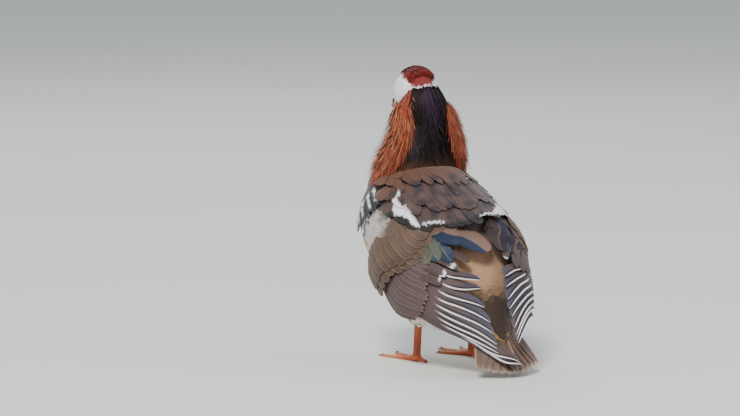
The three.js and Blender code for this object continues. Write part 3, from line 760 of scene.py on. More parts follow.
class Surface:
    """A mesh to lay feathers on."""

    def __init__(self, mesh):
        self.places = read(mesh.vertices, "co", 3) / MM - SHIFT
        normals = read(mesh.vertex_normals, "vector", 3)
        self.faces = [tuple(p.vertices) for p in mesh.polygons]
        self.middles = np.array([self.places[list(f)].mean(axis=0) for f in self.faces])
        self.normals = unit(np.array([normals[list(f)].mean(axis=0) for f in self.faces]))
        self.areas = np.array([p.area for p in mesh.polygons]) / MM**2
        self.tree = BVHTree.FromPolygons(self.places.tolist(), self.faces)

    def nearest(self, places):
        """The nearest places on the surface and the ways out of it."""
        found = [self.tree.find_nearest(Vector(p)) for p in places]
        return np.array([f[0] for f in found]), self.normals[[f[2] for f in found]]

    def scatter(self, spacing, wanted, rng):
        """Places no closer than spacing on the faces that are wanted."""
        chosen = np.flatnonzero(wanted)
        weights = self.areas[chosen] / self.areas[chosen].sum()
        tries = int(5 * self.areas[chosen].sum() / spacing**2)
        picks = chosen[rng.choice(len(chosen), tries, p=weights)]
        jitter = rng.normal(0, 0.7, (tries, 3))
        normals = self.normals[picks]
        places = self.middles[picks] + jitter - normals * dot(jitter, normals)
        kept = []
        grid = {}
        around = [(a, b, c) for a in (-1, 0, 1) for b in (-1, 0, 1) for c in (-1, 0, 1)]
        for i, place in enumerate(places.tolist()):
            cell = tuple(int(c // spacing) for c in place)
            near = (grid.get((cell[0] + a, cell[1] + b, cell[2] + c)) for a, b, c in around)
            if all(p is None or math.dist(p, place) > spacing for p in near):
                grid[cell] = place
                kept.append(i)
        return places[kept], normals[kept]


skin = Surface(skin_mesh)

# %% [markdown]
# Feathers lie from the bill towards the tail. At each place the middle lines of the nearby forms say
# which way that is, the nearest form counting most, so that the lie turns smoothly from head to neck
# and from neck to body.

# %% The lie of the coat
LINE_STEPS = 50


def middle_line(form, turn=0.0):
    """Places, ways and girths down a form's middle line."""
    k = np.linspace(0, form.last, LINE_STEPS)
    rows = form.along(k)
    middle = turned(rows[:, :3], turn)
    return middle, unit(np.gradient(middle, axis=0)), (rows[:, 3] + rows[:, 4]) / 2


LINES = [middle_line(HEAD, HEAD_TURN), middle_line(NECK), middle_line(TRUNK)]
LINE_PLACES, LINE_WAYS, LINE_GIRTHS = (np.concatenate(part) for part in zip(*LINES))


def nearness(places):
    """How much each step of the middle lines counts at each place."""
    far = np.linalg.norm(places[:, None] - LINE_PLACES, axis=-1) / LINE_GIRTHS
    weight = np.exp(-9 * (far - far.min(axis=1, keepdims=True)))
    return weight / weight.sum(axis=1, keepdims=True)


def lie(places, normals):
    """The way the coat lies at each place on the skin."""
    way = nearness(places) @ LINE_WAYS
    return unit(way - normals * dot(way, normals))


def belongs(places):
    """The shares of head, neck and trunk at each place."""
    weight = nearness(places)
    return weight.reshape(len(places), 3, LINE_STEPS).sum(axis=2).T


# %% [markdown]
# The bird's markings are worked out from where a place is on head, neck or trunk. Skin and feathers ask
# the same function, so that a gap between feathers never shows the wrong colour. Each marking is a
# colour laid over the ones before it, with a soft edge a few millimetres wide.

# %% Markings


def over(colours, colour, share):
    """Lays a colour over others, wholly where share is 1."""
    share = np.clip(share, 0, 1)[..., None]
    return colours * (1 - share) + colour * share


def between(low, high, value, soft):
    """1 where the value lies between low and high, with soft edges."""
    half = soft / 2
    return smooth(low - half, low + half, value) * (1 - smooth(high - half, high + half, value))


def ripple(places, size, phase=0.0):
    """A smooth uneven pattern from -1 to 1, about size millimetres from patch to patch."""
    x, y, z = np.asarray(places).T * 2 * math.pi / size
    return (np.sin(x + 1.7 * np.sin(0.6 * y + phase)) + np.sin(y * 1.1 + 1.3 * np.sin(0.7 * z + 1 + phase))
            + np.sin(z * 0.9 + 1.5 * np.sin(0.8 * x + 2 + phase))) / 3

# %% [markdown]
# The head has a chestnut crown, a broad white brow that runs back to a thin white line over the nape,
# and a buff cheek. The nape's line is a plane's cut through the head, which keeps it straight from
# behind.

# %% Markings of the head
NAPE_WAY = np.array([0, 0.57, 0.82])
NAPE_THROUGH = np.array([0, 16.0, 271])


def brow_top(k):
    """The angle of the crown's edge down the head."""
    return np.interp(k, [1.2, 2.0, 3.0, 3.9, 4.5, 5.0, 5.5, 6.0], [60, 46, 38, 37, 45, 51, 54, 56])


def head_markings(places):
    """Crown, white brow, lores, cheek and throat."""
    own = turned(places, -HEAD_TURN)
    k, angle = HEAD.locate(own)
    away = np.abs(angle)
    colours = np.tile(LORES, (len(places), 1))
    colours = over(colours, RUFF_RUST, smooth(4.5, 5.2, k) * smooth(80, 100, away))
    colours = over(colours, THROAT, smooth(138, 156, away))
    brow_low = np.interp(k, [1.2, 2.2, 3.2, 4.0, 4.6, 5.1, 5.7, 6.0], [70, 92, 109, 114, 112, 106, 92, 70])
    brow_high = brow_top(k)
    colours = over(colours, WHITE, between(brow_high, brow_low, away, 4) * smooth(0.9, 1.6, k))
    crown = 1 - smooth(brow_high - 3, brow_high + 3, away)
    colours = over(colours, CHESTNUT, crown)
    colours = over(colours, FOREHEAD, crown * (1 - smooth(2.0, 3.0, k)))
    streak = smooth(0.2, 0.9, ripple(places, 13)) * between(14, 40, away, 10)
    colours = over(colours, FOREHEAD, 0.6 * streak * crown)
    nape = (places - NAPE_THROUGH) @ NAPE_WAY
    behind = smooth(4.6, 5.0, k) * (1 - smooth(60, 80, away))
    colours = over(colours, CHESTNUT, behind * smooth(3.9, 4.5, nape) * (1 - smooth(50, 58, away)))
    colours = over(colours, WHITE, behind * between(2.2, 4.1, nape, 0.6))
    return over(colours, MANE_BLACK, behind * (1 - smooth(1.8, 2.4, nape)))

# %% [markdown]
# The neck is dark under the crest and rust at its sides. The body has a maroon breast that ends in
# black and white bars, a grey and buff flank with fine dark waves, a white belly and a pale rump.

# %% Markings of neck and body


def neck_markings(places):
    """Dark under the crest, rust at the sides, chestnut in front, maroon lower down."""
    k, angle = NECK.locate(places)
    away = np.abs(angle)
    colours = np.tile(MANE_BLACK, (len(places), 1))
    colours = over(colours, RUFF_ROOT, smooth(62, 84, away))
    colours = over(colours, THROAT, smooth(100, 140, away) * (1 - smooth(2.5, 4.5, k)))
    return over(colours, MAROON, smooth(100, 125, away) * smooth(2.5, 4.5, k))


# Bars at the breast's side: where each starts and ends, and its colour.
BARS = [(2.35, 2.58, BLACK), (2.58, 2.8, WHITE), (2.8, 3.0, BLACK), (3.0, 3.2, WHITE), (3.2, 3.36, BLACK)]


def trunk_markings(places):
    """Mantle, breast, side bars, flank, belly, rump."""
    k, angle = TRUNK.locate(places)
    away = np.abs(angle)
    uneven = ripple(places, 26)
    colours = np.tile(FLANK_BUFF, (len(places), 1))
    colours = over(colours, FLANK_GREY, (1 - smooth(96, 112, away)) * (1 - smooth(5.0, 6.4, k)))
    fine = 0.5 + 0.5 * np.sin(k * 62 + 2.2 * ripple(places, 9))
    colours = over(colours, COVERT_DARK, 0.28 * fine * between(84, 122, away, 8) * smooth(3.5, 4.2, k))
    colours = over(colours, BELLY, smooth(122, 134, away + 3 * uneven))
    colours = over(colours, BELLY, smooth(96, 120, away) * smooth(7.0, 8.2, k))
    breast = 1 - smooth(2.3, 2.5, k + 0.12 * smooth(140, 180, away) * 4)
    colours = over(colours, MAROON, breast)
    for start, end, colour in BARS:
        band = between(start, end, k + 0.06 * uneven, 0.07) * between(52, 118, away, 10)
        colours = over(colours, colour, band)
    back = 1 - smooth(60, 74, away)
    colours = over(colours, MANTLE, back)
    colours = over(colours, MANTLE_DARK, back * smooth(0.1, 0.7, uneven) * between(2.6, 5.6, k, 0.6))
    colours = over(colours, COLLAR, (1 - smooth(66, 80, away)) * (1 - smooth(2.3, 3.0, k))
                   * (1 - smooth(26, 44, np.asarray(places)[:, 1])))
    rump = (1 - smooth(52, 70, away)) * smooth(5.7, 6.5, k)
    colours = over(colours, RUMP, rump)
    return over(colours, RUMP_DARK, rump * smooth(7.5, 8.6, k))

# %% [markdown]
# Where head, neck and body meet, their markings are mixed by how near each is. The skin is shown with
# them, a little darker than the feathers over it, as down in the shade is.

# %% The skin and its finish


def markings(places):
    """The colour of the bird at each place."""
    head, neck, trunk = belongs(places)
    head, neck, trunk = (smooth(0.4, 0.6, share) for share in (head, neck, trunk))
    total = (head_markings(places) * head[:, None] + neck_markings(places) * neck[:, None]
             + trunk_markings(places) * trunk[:, None])
    weight = head + neck + trunk
    mixed = total / np.maximum(weight, 1e-6)[:, None]
    return np.where(weight[:, None] > 0.02, mixed, MAROON)


tint_mesh(skin_mesh, markings(skin.places) * UNDERSIDE_SHADE)


def down_finish():
    """The down between the feathers: the markings' colour, matt, with a fine grain."""
    finish = Finish("down", 0.85, {"Sheen Weight": 0.2})
    return finish.done(finish.tint(), finish.noise(900.0), 0.5, 0.0005)


DOWN_FINISH = down_finish()
show("skin", skin_mesh, DOWN_FINISH, ["head", "neck", "torso"])

# %% [markdown]
# The body's feathers are laid like shingles. Each starts at a place on the skin and takes a few steps
# along the lie, always back onto the skin, while it rises from its root to its tip. Spacing and size
# change from the face, where they are smallest, to the flanks and belly.

# %% Laying the coat
COAT_ROWS = 5
COAT_FLOOR = 3
EYE_CLEAR = 4.9
REGIONS = {
    "face": {"spacing": 1.25, "length": 5.0, "width": 1.3, "depth": HEAD_COAT},
    "neck": {"spacing": 2.1, "length": 11, "width": 2.4, "depth": COAT_DEPTH},
    "breast": {"spacing": 2.4, "length": 12, "width": 3.6, "depth": COAT_DEPTH},
    "back": {"spacing": 2.9, "length": 15, "width": 4.4, "depth": COAT_DEPTH},
    "flank": {"spacing": 2.6, "length": 16, "width": 4.2, "depth": COAT_DEPTH},
    "belly": {"spacing": 3.0, "length": 16, "width": 4.6, "depth": COAT_DEPTH},
}


def region_masks(places):
    """Which of the regions each place is in."""
    head, neck, trunk = belongs(places)
    k, angle = TRUNK.locate(places)
    away = np.abs(angle)
    on_head = (head >= neck) & (head >= trunk)
    on_neck = (neck > head) & (neck >= trunk)
    on_trunk = ~on_head & ~on_neck
    front = on_trunk & (k < 2.5) & (away > 50)
    back = on_trunk & ~front & (away < 66)
    belly = on_trunk & ~front & (away > 124)
    return {"face": on_head, "neck": on_neck, "breast": front, "back": back, "belly": belly,
            "flank": on_trunk & ~front & ~back & ~belly}


def clear_of_eyes(places):
    """True where no eye is."""
    middles = turned(np.array(list(EYE_PLACES.values())))
    return np.all(np.linalg.norm(places[:, None] - middles, axis=-1) > EYE_CLEAR, axis=1)

# %% [markdown]
# A search finds the skin again after every step of a shaft, so that a feather bends with the body.
# The shaft rises fast from its root and then stays level, as feathers that lie on each other do.

# %% Shingles along the lie


def shingles(surface, roots, normals, ways, length, depth, rng, rows=COAT_ROWS, stray=0.12):
    """Shafts laid along the lie from each root, rising from the skin to the coat's depth."""
    spin = rng.normal(0, stray, len(roots))[:, None]
    ways = unit(ways * np.cos(spin) + np.cross(normals, ways) * np.sin(spin))
    shaft = [roots - normals * 0.3]
    outs = [normals]
    place = roots
    rise = depth * rng.uniform(0.85, 1.1, len(roots))[:, None]
    for row in range(1, rows):
        share = row / (rows - 1)
        place, normals = surface.nearest(place + ways * (length / (rows - 1))[:, None])
        ways = unit(ways - normals * dot(ways, normals))
        shaft.append(place + normals * (rise * share**0.35 * (1 - 0.3 * share**3)))
        outs.append(normals)
    return np.stack(shaft, axis=1), np.stack(outs, axis=1)


def coat_uv(places):
    """A place on the unwrapped skin: round the body and down it from the bill to the tail."""
    weight = nearness(places)
    down = weight @ np.linspace(0, 1, len(LINE_WAYS))
    on_trunk = belongs(places)[2] > 0.5
    turn = np.where(on_trunk, TRUNK.locate(places)[1], NECK.locate(places)[1])
    return bake_places((turn + 180) / 360, down)

# %% [markdown]
# Each region is strewn with roots at its own spacing, clear of the eyes and of the floor. A feather
# takes the marking of the place where its tip lies, which is the part that shows.

# %% The coat of the body


def body_coat():
    """Every region's feathers, each region a piece of its own."""
    rng = np.random.default_rng(12)
    masks = region_masks(skin.middles)
    body = outline(SHAPES["body"], COAT_ROWS)
    counts = {}
    for word, size in REGIONS.items():
        roots, normals = skin.scatter(size["spacing"], masks[word], rng)
        keep = clear_of_eyes(roots) & (roots[:, 2] > COAT_FLOOR)
        roots, normals = roots[keep], normals[keep]
        vary = rng.uniform(0.8, 1.2, len(roots))
        ways = lie(roots, normals)
        shafts, outs = shingles(skin, roots, normals, ways, size["length"] * vary, size["depth"], rng)
        tints = markings(roots + ways * size["length"] * 0.7) * rng.uniform(0.93, 1.06, (len(roots), 1))

        def paint(across, share, index, spots, tints=tints):
            return tints[index] * (0.94 + 0.08 * share)[..., None]

        feathers(word + "_feathers", SOFT_FINISH, shafts, outs,
                 (size["width"] * vary)[:, None] * body, paint, coat_uv(roots), thick=0.24, bow=0.006)
        counts[word] = len(roots)
    return counts


print("coat:", body_coat())

# %% [markdown]
# The crest hangs down the nape in long narrow feathers, dark with a purple gloss. The crown is the same
# kind, shorter and chestnut. The whiskers of cheek and neck are narrower still, rust with pale tips, and
# fan back and out over the shoulders. All follow the forms of the solids, in many thin layers. A layer
# is how many feathers it has, and the ranges of their root's station, angle, length in stations, width
# and heights: that of the root, and the least and the most of the tip.

# %% Layers of narrow feathers
LOCK_ROWS = 8


def locks(form, rng, side, count, stations, angles, lengths, heights, widths, bend=8.0, run_on=14):
    """Narrow feathers strewn over a form: their shafts, ways out, webs, root stations and angles.

    bend is how many degrees they sway, run_on how far each station past the form's end takes them."""
    k = np.sort(rng.uniform(*stations, count))[::-1]
    angle = rng.uniform(*angles, count)
    reach = rng.uniform(*lengths, count)
    sway = rng.normal(0, bend, count)
    share = np.linspace(0, 1, LOCK_ROWS)
    along = k[:, None] + reach[:, None] * share
    turns = side * (angle[:, None] * (1 + 0.05 * share) + sway[:, None] * share**2)
    root, *tips = heights
    lift = rng.uniform(*tips, count)[:, None]
    shafts = form.point(along, turns, root + (lift - root) * share**0.6)
    final = form.axes(np.full(count, form.last - 0.05))[0]
    shafts = shafts + final[:, None] * np.maximum(along - form.last, 0)[..., None] * run_on
    webs = rng.uniform(*widths, count)[:, None] * outline(SHAPES["lock"], LOCK_ROWS)
    return shafts, form.out(np.minimum(along, form.last), turns), webs, k, angle

# %% [markdown]
# The crest is black, with purple on its upper middle that is partly the feathers' own gloss colour and
# partly painted sheen, grey streaks to the left and a brown collar at its foot.

# %% Crest
CREST = {"count": 1300, "stations": (-0.3, 3.9), "angles": (-43, 66), "lengths": (1.1, 1.9),
         "heights": (-1.5, 2.4, 5.8), "widths": (0.9, 1.7)}


def crest():
    """The long dark crest down the nape."""
    rng = np.random.default_rng(21)
    shafts, outs, webs, k, angle = locks(NECK, rng, 1, **CREST)
    # Purple on the crest's upper middle: partly its own colour, partly painted sheen.
    purple_sheen = (1 - smooth(8, 26, np.abs(angle))) * (1 - smooth(0.3, 1.2, k))
    tints = over(np.tile(MANE_BLACK, (len(k), 1)), MANE_PURPLE_SHEEN, purple_sheen)
    tints = over(tints, MANE_GREY, 0.5 * between(-40, -22, angle, 6) * between(1.2, 2.4, k, 0.6))
    tints = over(tints, CHESTNUT_DARK, 0.5 * smooth(20, 46, angle) * rng.random(len(k)))
    tints = tints * rng.uniform(0.7, 1.25, (len(k), 1))

    def paint(across, share, index, spots):
        low = NECK.locate(spots.reshape(-1, 3))[0].reshape(across.shape)
        colours = tints[index] * (1.1 - 0.3 * share)[..., None]
        return over(colours, COLLAR * 0.75, smooth(3.4, 4.7, low) * 0.9)

    feathers("crest_feathers", CREST_FINISH, shafts, outs, webs, paint,
             bake_places((angle + 180) / 360, (k + 0.2) / 5), thick=0.5, bow=0.05)
    return len(k)


print("crest feathers:", crest())

# %% [markdown]
# The crown's feathers are short and fine. Those that would hang over the white line or the white brow
# are left out, so that the markings below keep a clean edge.

# %% Crown
CROWN = {"count": 1500, "stations": (2.4, 5.7), "angles": (-50, 52), "lengths": (0.3, 0.7),
         "heights": (-1.2, 0.1, 1.0), "widths": (0.6, 1.0), "bend": 3}
CROWN_END = 3.9


def crown():
    """The chestnut crown, laid back to the nape and ending before the white line there."""
    rng = np.random.default_rng(22)
    shafts, outs, webs, k, angle = locks(HEAD, rng, 1, **CROWN)
    tints = over(np.tile(CHESTNUT, (len(k), 1)), CHESTNUT_DARK, rng.random(len(k)) * 0.5)
    tints = over(tints, FOREHEAD, 1 - smooth(2.6, 3.4, k))
    tints = over(tints, FOREHEAD, 0.7 * between(-26, -4, angle, 8) * (rng.random(len(k)) < 0.45))
    inside = ((turned(shafts) - NAPE_THROUGH) @ NAPE_WAY).min(axis=1) > CROWN_END
    inside &= np.abs(angle) < brow_top(k) - 4
    shafts, outs, webs, k, angle, tints = (part[inside] for part in (shafts, outs, webs, k, angle, tints))

    def paint(across, share, index, spots):
        return tints[index] * (0.85 + 0.25 * share)[..., None]

    feathers("crown_feathers", CREST_FINISH, turned(shafts), turned_way(outs), webs,
             paint, bake_places((angle + 180) / 360, (k - 2.6) / 3), thick=0.4, bow=0.04)
    return len(k)


print("crown feathers:", crown())

# %% [markdown]
# Whiskers need depth: a dense layer below, darkened as painted shade between the hackles, and over it
# fewer, narrower and longer hackles whose ends lift off and catch the light. The right whiskers are
# darker all through, as painted shade on the side away from the key light. A third layer starts
# behind the cheek and joins them to the crest.

# %% Whiskers
UNDER_RUFF = {"count": 800, "stations": (0.0, 3.4), "angles": (-30, 135), "lengths": (1.0, 1.7),
              "heights": (-5.0, -1.8, 0.2), "widths": (0.7, 1.2), "bend": 7, "run_on": 4}
HACKLES = {"count": 620, "stations": (-0.2, 3.3), "angles": (-42, 135), "lengths": (1.2, 2.1),
           "heights": (-4.0, -0.6, 2.6), "widths": (0.4, 0.85), "bend": 13, "run_on": 6}
EAR_HACKLES = {"count": 380, "stations": (-0.3, 1.4), "lengths": (0.7, 1.3),
               "heights": (-2.0, 1.0, 3.4), "widths": (0.45, 0.8), "bend": 6}
EAR_ANGLES = {-1: (44, 92), 1: (62, 92)}


def whiskers(side, word):
    """One side's whiskers: an under-layer darkened as painted shade, and long hackles whose pale tips stand
    out.
    """
    rng = np.random.default_rng(24 + side)
    under = locks(WHISKERS[side], rng, side, **UNDER_RUFF)
    hackles = locks(WHISKERS[side], rng, side, **HACKLES)
    ears = locks(NECK, rng, side, angles=EAR_ANGLES[side], **EAR_HACKLES)
    below = ears[3] > (ears[4] - 50) / 36 - 0.25
    layers = zip(under, hackles, [part[below] for part in ears])
    shafts, outs, webs, k, angle = (np.concatenate(parts) for parts in layers)
    share = np.linspace(0, 1, LOCK_ROWS)[:, None]
    shafts = shafts + outs * rng.uniform(0, 6, (len(k), 1, 1)) * share**3
    shafts[..., 2] = np.maximum(shafts[..., 2], 4)
    chance = rng.random(len(k))
    pale = rng.random(len(k)) ** 2 * 0.7 + 0.55 * smooth(50, 100, angle)
    # Painted shade: the under-layer is darkened to 0.42, and the right side's whiskers to 0.8.
    tone = np.where(np.arange(len(k)) < UNDER_RUFF["count"], 0.42, 1.0) * (0.8 if side > 0 else 1.0)

    def paint(across, share, index, spots):
        own = chance[index]
        colours = over(RUFF_ROOT, RUFF_RUST, smooth(0.2, 0.75, share + 0.3 * own - 0.1))
        tip = smooth(0.55, 1.0, share) * pale[index]
        shaft = 0.15 * np.exp(-((across / 0.3) ** 2)) * share
        colours = over(colours, RUFF_PALE, np.minimum(tip + shaft, 0.95))
        return colours * (tone[index] * (0.6 + 0.5 * own))[..., None]

    feathers("whiskers_" + word, RUFF_FINISH, shafts, outs, webs, paint,
             bake_places((angle + 180) / 360, k / 4), thick=0.3, bow=0.05)
    return len(k)


SIDES = [(-1, "left"), (1, "right")]
print("whisker feathers:", [whiskers(side, word) for side, word in SIDES])

# %% [markdown]
# A folded wing is a stack of vanes. Each row starts under the row in front of it: small rounded coverts,
# long coverts, then secondaries, tertials and primaries. In each row a feather's inner web lies under
# the next feather, so that only its outer edge and tip show. The ways are those of the solids, and the
# rows of coverts are filled with more feathers.

# %% The ways of the wing feathers
PRIMARIES = {
    "left": [
        [[6.7, 102], [8.65, 101], [9.9, 84], [10.75, 52], [11, -50]],
        [[6.6, 98], [8.1, 97], [9.3, 89], [10.3, 64], [11, -28]],
        [[6.4, 94], [7.9, 93], [9.1, 86], [10.25, 58]],
        [[6.4, 89], [7.75, 87], [8.85, 80], [10.1, 52]],
        [[6.3, 84], [7.65, 81], [8.7, 72], [9.9, 45]],
        [[6.3, 79], [7.55, 75], [8.5, 64], [9.6, 38]],
        [[6.3, 74], [7.5, 68], [8.2, 57], [9.15, 34]],
        [[6.3, 68], [7.4, 61], [8.0, 51], [8.65, 30]],
        [[6.3, 62], [7.3, 53], [7.8, 41], [8.1, 24]],
        [[6.3, 56], [7.1, 46], [7.5, 34], [7.75, 20]],
    ],
    "right": [
        [[6.7, 102], [8.2, 88], [9.1, 48], [10.1, 12]],
        [[6.6, 98], [7.9, 84], [8.9, 44], [10.0, 8]],
        [[6.4, 94], [7.8, 76], [8.8, 41], [9.8, 7]],
        [[6.4, 89], [7.7, 69], [8.6, 38], [9.5, 6]],
        [[6.3, 84], [7.6, 63], [8.4, 35], [9.2, 6]],
        [[6.3, 79], [7.5, 56], [8.2, 31], [8.9, 5]],
        [[6.3, 74], [7.4, 50], [8.0, 27], [8.6, 5]],
        [[6.3, 68], [7.3, 44], [7.8, 23], [8.2, 6]],
        [[6.3, 62], [7.2, 38], [7.5, 22], [7.8, 9]],
    ],
}
SECONDARIES = {
    "left": [
        [[5.7, 68], [6.6, 64], [7.3, 56]],
        [[5.6, 60], [6.5, 56], [7.25, 48]],
        [[5.5, 52], [6.4, 46], [7.2, 34]],
        [[5.4, 44], [6.3, 37], [7.2, 22]],
    ],
    "right": [
        [[5.7, 68], [6.6, 60], [7.4, 46]],
        [[5.6, 60], [6.5, 51], [7.45, 36]],
        [[5.5, 52], [6.4, 43], [7.4, 27]],
        [[5.4, 44], [6.3, 34], [7.15, 17]],
    ],
}
# Each tertial has its way, its two webs, and the colours of the outer and the inner web.
TERTIALS = {
    "left": [([[4.9, 44], [5.8, 48], [6.5, 52]], (8, 9), OLIVE, OLIVE),
             ([[4.9, 38], [5.8, 41], [6.7, 43]], (8, 8), TEAL, OLIVE),
             ([[5.0, 34], [6.0, 34], [6.95, 35]], (8, 8), TEAL, BLUE),
             ([[4.6, 31], [5.6, 25], [6.35, 13], [7.0, 2]], (15, 24), BLUE, TERTIAL)],
    "right": [([[4.9, 46], [5.9, 42], [6.95, 36]], (9, 10), MANTLE_DARK, MANTLE),
              ([[4.8, 36], [5.8, 31], [6.9, 25]], (9, 12), MANTLE_DARK, BLUE),
              ([[4.8, 26], [5.8, 22], [6.95, 15]], (10, 12), MANTLE_DARK, COVERT_DARK)],
}
LONG_COVERTS = [
    [[5.2, 108], [6.1, 109], [7.2, 106]], [[5.2, 98], [6.2, 99], [7.35, 95]],
    [[5.2, 88], [6.2, 88], [7.3, 85]], [[5.2, 80], [6.2, 79], [7.2, 75]],
    [[5.1, 72], [6.0, 70], [7.0, 66]], [[5.0, 63], [5.8, 61], [6.7, 57]],
    [[4.9, 55], [5.6, 53], [6.45, 48]], [[4.8, 47], [5.4, 45], [6.15, 40]],
]
ROUND_COVERTS = [
    [[4.1, 104], [4.6, 105], [5.15, 105]], [[4.1, 92], [4.6, 92], [5.2, 91]],
    [[4.1, 81], [4.6, 81], [5.3, 80]], [[4.1, 71], [4.8, 71], [5.65, 69]],
    [[4.2, 62], [4.9, 61], [5.8, 58]], [[4.3, 53], [5.0, 52], [5.8, 48]],
    [[4.3, 45], [4.9, 44], [5.55, 40]],
]
# Rows of shoulder feathers from the rear to the front, each from its outermost feather to the midline.
SHOULDERS = {
    "left": [
        [[[3.2, 52], [3.7, 51], [4.3, 47]], [[3.3, 44], [4.0, 45], [4.85, 42]],
         [[3.4, 35], [4.2, 37], [5.2, 36]], [[3.5, 25], [4.4, 27], [5.4, 26]],
         [[3.6, 15], [4.6, 16], [5.6, 16]], [[3.7, 6], [4.7, 6], [5.7, 7]],
         [[3.8, -3], [4.8, -3], [5.65, -2]]],
        [[[2.6, 54], [3.1, 53], [3.6, 50]], [[2.7, 42], [3.3, 43], [4.1, 41]],
         [[2.8, 31], [3.5, 32], [4.5, 31]], [[2.9, 20], [3.7, 20], [4.7, 21]],
         [[3.0, 9], [3.8, 9], [4.85, 10]], [[3.1, 0], [3.9, 0], [4.9, 0]]],
        [[[1.9, 52], [2.5, 50], [3.1, 46]], [[2.1, 34], [2.7, 34], [3.5, 31]],
         [[2.2, 17], [2.9, 17], [3.9, 16]], [[2.3, 0], [3.0, 0], [4.0, 0]]],
    ],
    "right": [
        [[[3.2, 55], [3.8, 54], [4.4, 50]], [[3.3, 45], [4.0, 45], [4.8, 42]],
         [[3.4, 35], [4.1, 36], [5.0, 33]], [[3.5, 26], [4.2, 27], [5.15, 24]],
         [[3.6, 17], [4.4, 17], [5.25, 16]], [[3.7, 7], [4.5, 8], [5.4, 7]], [[3.8, 0], [4.7, 0], [5.55, 1]]],
        [[[2.6, 54], [3.1, 53], [3.7, 51]], [[2.7, 42], [3.3, 43], [4.1, 41]],
         [[2.8, 31], [3.5, 32], [4.4, 31]], [[2.9, 20], [3.7, 20], [4.6, 20]],
         [[3.0, 9], [3.8, 9], [4.75, 9]], [[3.1, 1], [3.9, 1], [4.85, 1]]],
        [[[1.9, 52], [2.5, 50], [3.1, 46]], [[2.1, 34], [2.7, 34], [3.5, 31]],
         [[2.2, 17], [2.9, 17], [3.8, 16]], [[2.3, 2], [3.0, 2], [3.95, 2]]],
    ],
}
SIDE_BARS = [[[2.1, 52], [2.7, 57], [3.4, 58]], [[2.1, 66], [2.7, 70], [3.35, 73]],
             [[2.1, 82], [2.7, 86], [3.2, 90]], [[2.2, 98], [2.6, 102], [3.0, 106]]]

# %% [markdown]
# The colours of a vane are worked out from where a place is across its webs and down its length. The
# primaries have a white outer edge beside a black line, and the inner ones end in blue-grey.

# %% Colours of the wing feathers


def paint_primary(across, share, index, spots):
    """White edge, black line, grey-brown web, blue-grey tip."""
    tip = smooth(0.55, 0.85, share) * smooth(0, 0.3, across) * smooth(1.5, 5, index)
    colours = over(PRIMARY, PRIMARY_TIP, tip)
    colours = over(colours, BLACK, 0.92 * np.exp(-(((across - 0.1) / 0.15) ** 2)) * smooth(0.3, 0.5, share))
    start = 0.42 - 0.02 * index
    return over(colours, EDGE_WHITE, smooth(start, start + 0.12, share) * (1 - smooth(-0.25, -0.05, across)))


def wing_places(spots):
    """The station and the angle on the wings' surface, left negative."""
    k, angle = WINGS.locate(spots.reshape(-1, 3))
    return k.reshape(spots.shape[:-1]), angle.reshape(spots.shape[:-1])


def uneven(spots, size):
    """The ripple at places in an array of any shape."""
    return ripple(spots.reshape(-1, 3), size).reshape(spots.shape[:-1])


def paint_secondary(across, share, index, spots):
    """Grey-brown with a broken white band near the tips."""
    k, angle = wing_places(spots)
    colours = over(PRIMARY, COVERT_DARK, 0.5 * smooth(0.4, 0.6, share))
    band = np.interp(angle, [-62, -33, 10, 28], [7.2, 7.03, 7.0, 7.6]) + 0.03 * uneven(spots, 5)
    wide = np.interp(angle, [-60, -50, -40, -33, -30, 8, 12, 20, 28, 32],
                     [0, 0.06, 0.13, 0.1, 0.0, 0.0, 0.07, 0.1, 0.06, 0])
    return over(colours, EDGE_WHITE, between(band - wide / 2, band + wide / 2, k, 0.03) * (wide > 0.02))

# %% [markdown]
# Coverts are plain, with a paler rim that draws each feather's outline. A tertial's two webs differ:
# one is brown, the other olive, teal or glossy blue.

# %% Colours of coverts and tertials


def paint_covert(base, edge_colour, edge=0.35, dark=0.0):
    """A plain covert with a paler rim and a darker shaft. dark shades its tip inside the rim."""
    def paint(across, share, index, spots):
        colours = base * (0.86 + 0.1 * np.sin(index * 2.4) + 0.14 * share)[..., None]
        colours = over(colours, COVERT_DARK, dark * smooth(0.6, 0.9, share))
        rim = np.maximum(1 - smooth(-1.0, -0.8, across), 0.6 * smooth(0.95, 1.0, share))
        colours = over(colours, edge_colour, edge * rim)
        return over(colours, COVERT_DARK, 0.45 * np.exp(-((across / 0.06) ** 2)))
    return paint


def paint_tertial(outer, inner):
    """Two webs of different colours, a dark outer rim and a pale shaft."""
    def paint(across, share, index, spots):
        colours = over(outer, inner, smooth(-0.04, 0.04, across))
        colours = colours * (0.82 + 0.3 * share + 0.05 * uneven(spots, 8))[..., None]
        colours = over(colours, BLACK, 0.8 * (1 - smooth(-0.99, -0.86, across)) * smooth(0.3, 0.5, share))
        return over(colours, TERTIAL * 1.3, 0.6 * np.exp(-((across / 0.045) ** 2)) * smooth(0.2, 0.4, share))
    return paint

# %% [markdown]
# The cape's markings run across many feathers, so they are worked out from the place on the wings'
# surface. Its edge is black with broken white, and the patches at both sides are white.

# %% Colours of cape and side bars
# The cape's lower edge: angle and station. The white on its left: station, angle and width in degrees.
CAPE_EDGE = np.array([(-52, 4.2), (-46, 4.25), (-42, 4.75), (-40, 5.05), (-35, 5.24), (-26, 5.4), (-19, 5.6),
                      (-12, 5.68), (-4, 5.65), (9, 5.3), (28, 5.1), (34, 4.98), (42, 4.8), (50, 4.4)]).T
WHITE_LEFT = np.array([(3.5, -39, 0), (3.62, -40, 3), (3.75, -46, 4), (3.95, -48, 7), (4.15, -46, 9),
                       (4.3, -43, 8), (4.45, -42, 4), (4.7, -42, 3.5), (4.9, -40, 2), (5.0, -39, 0)]).T


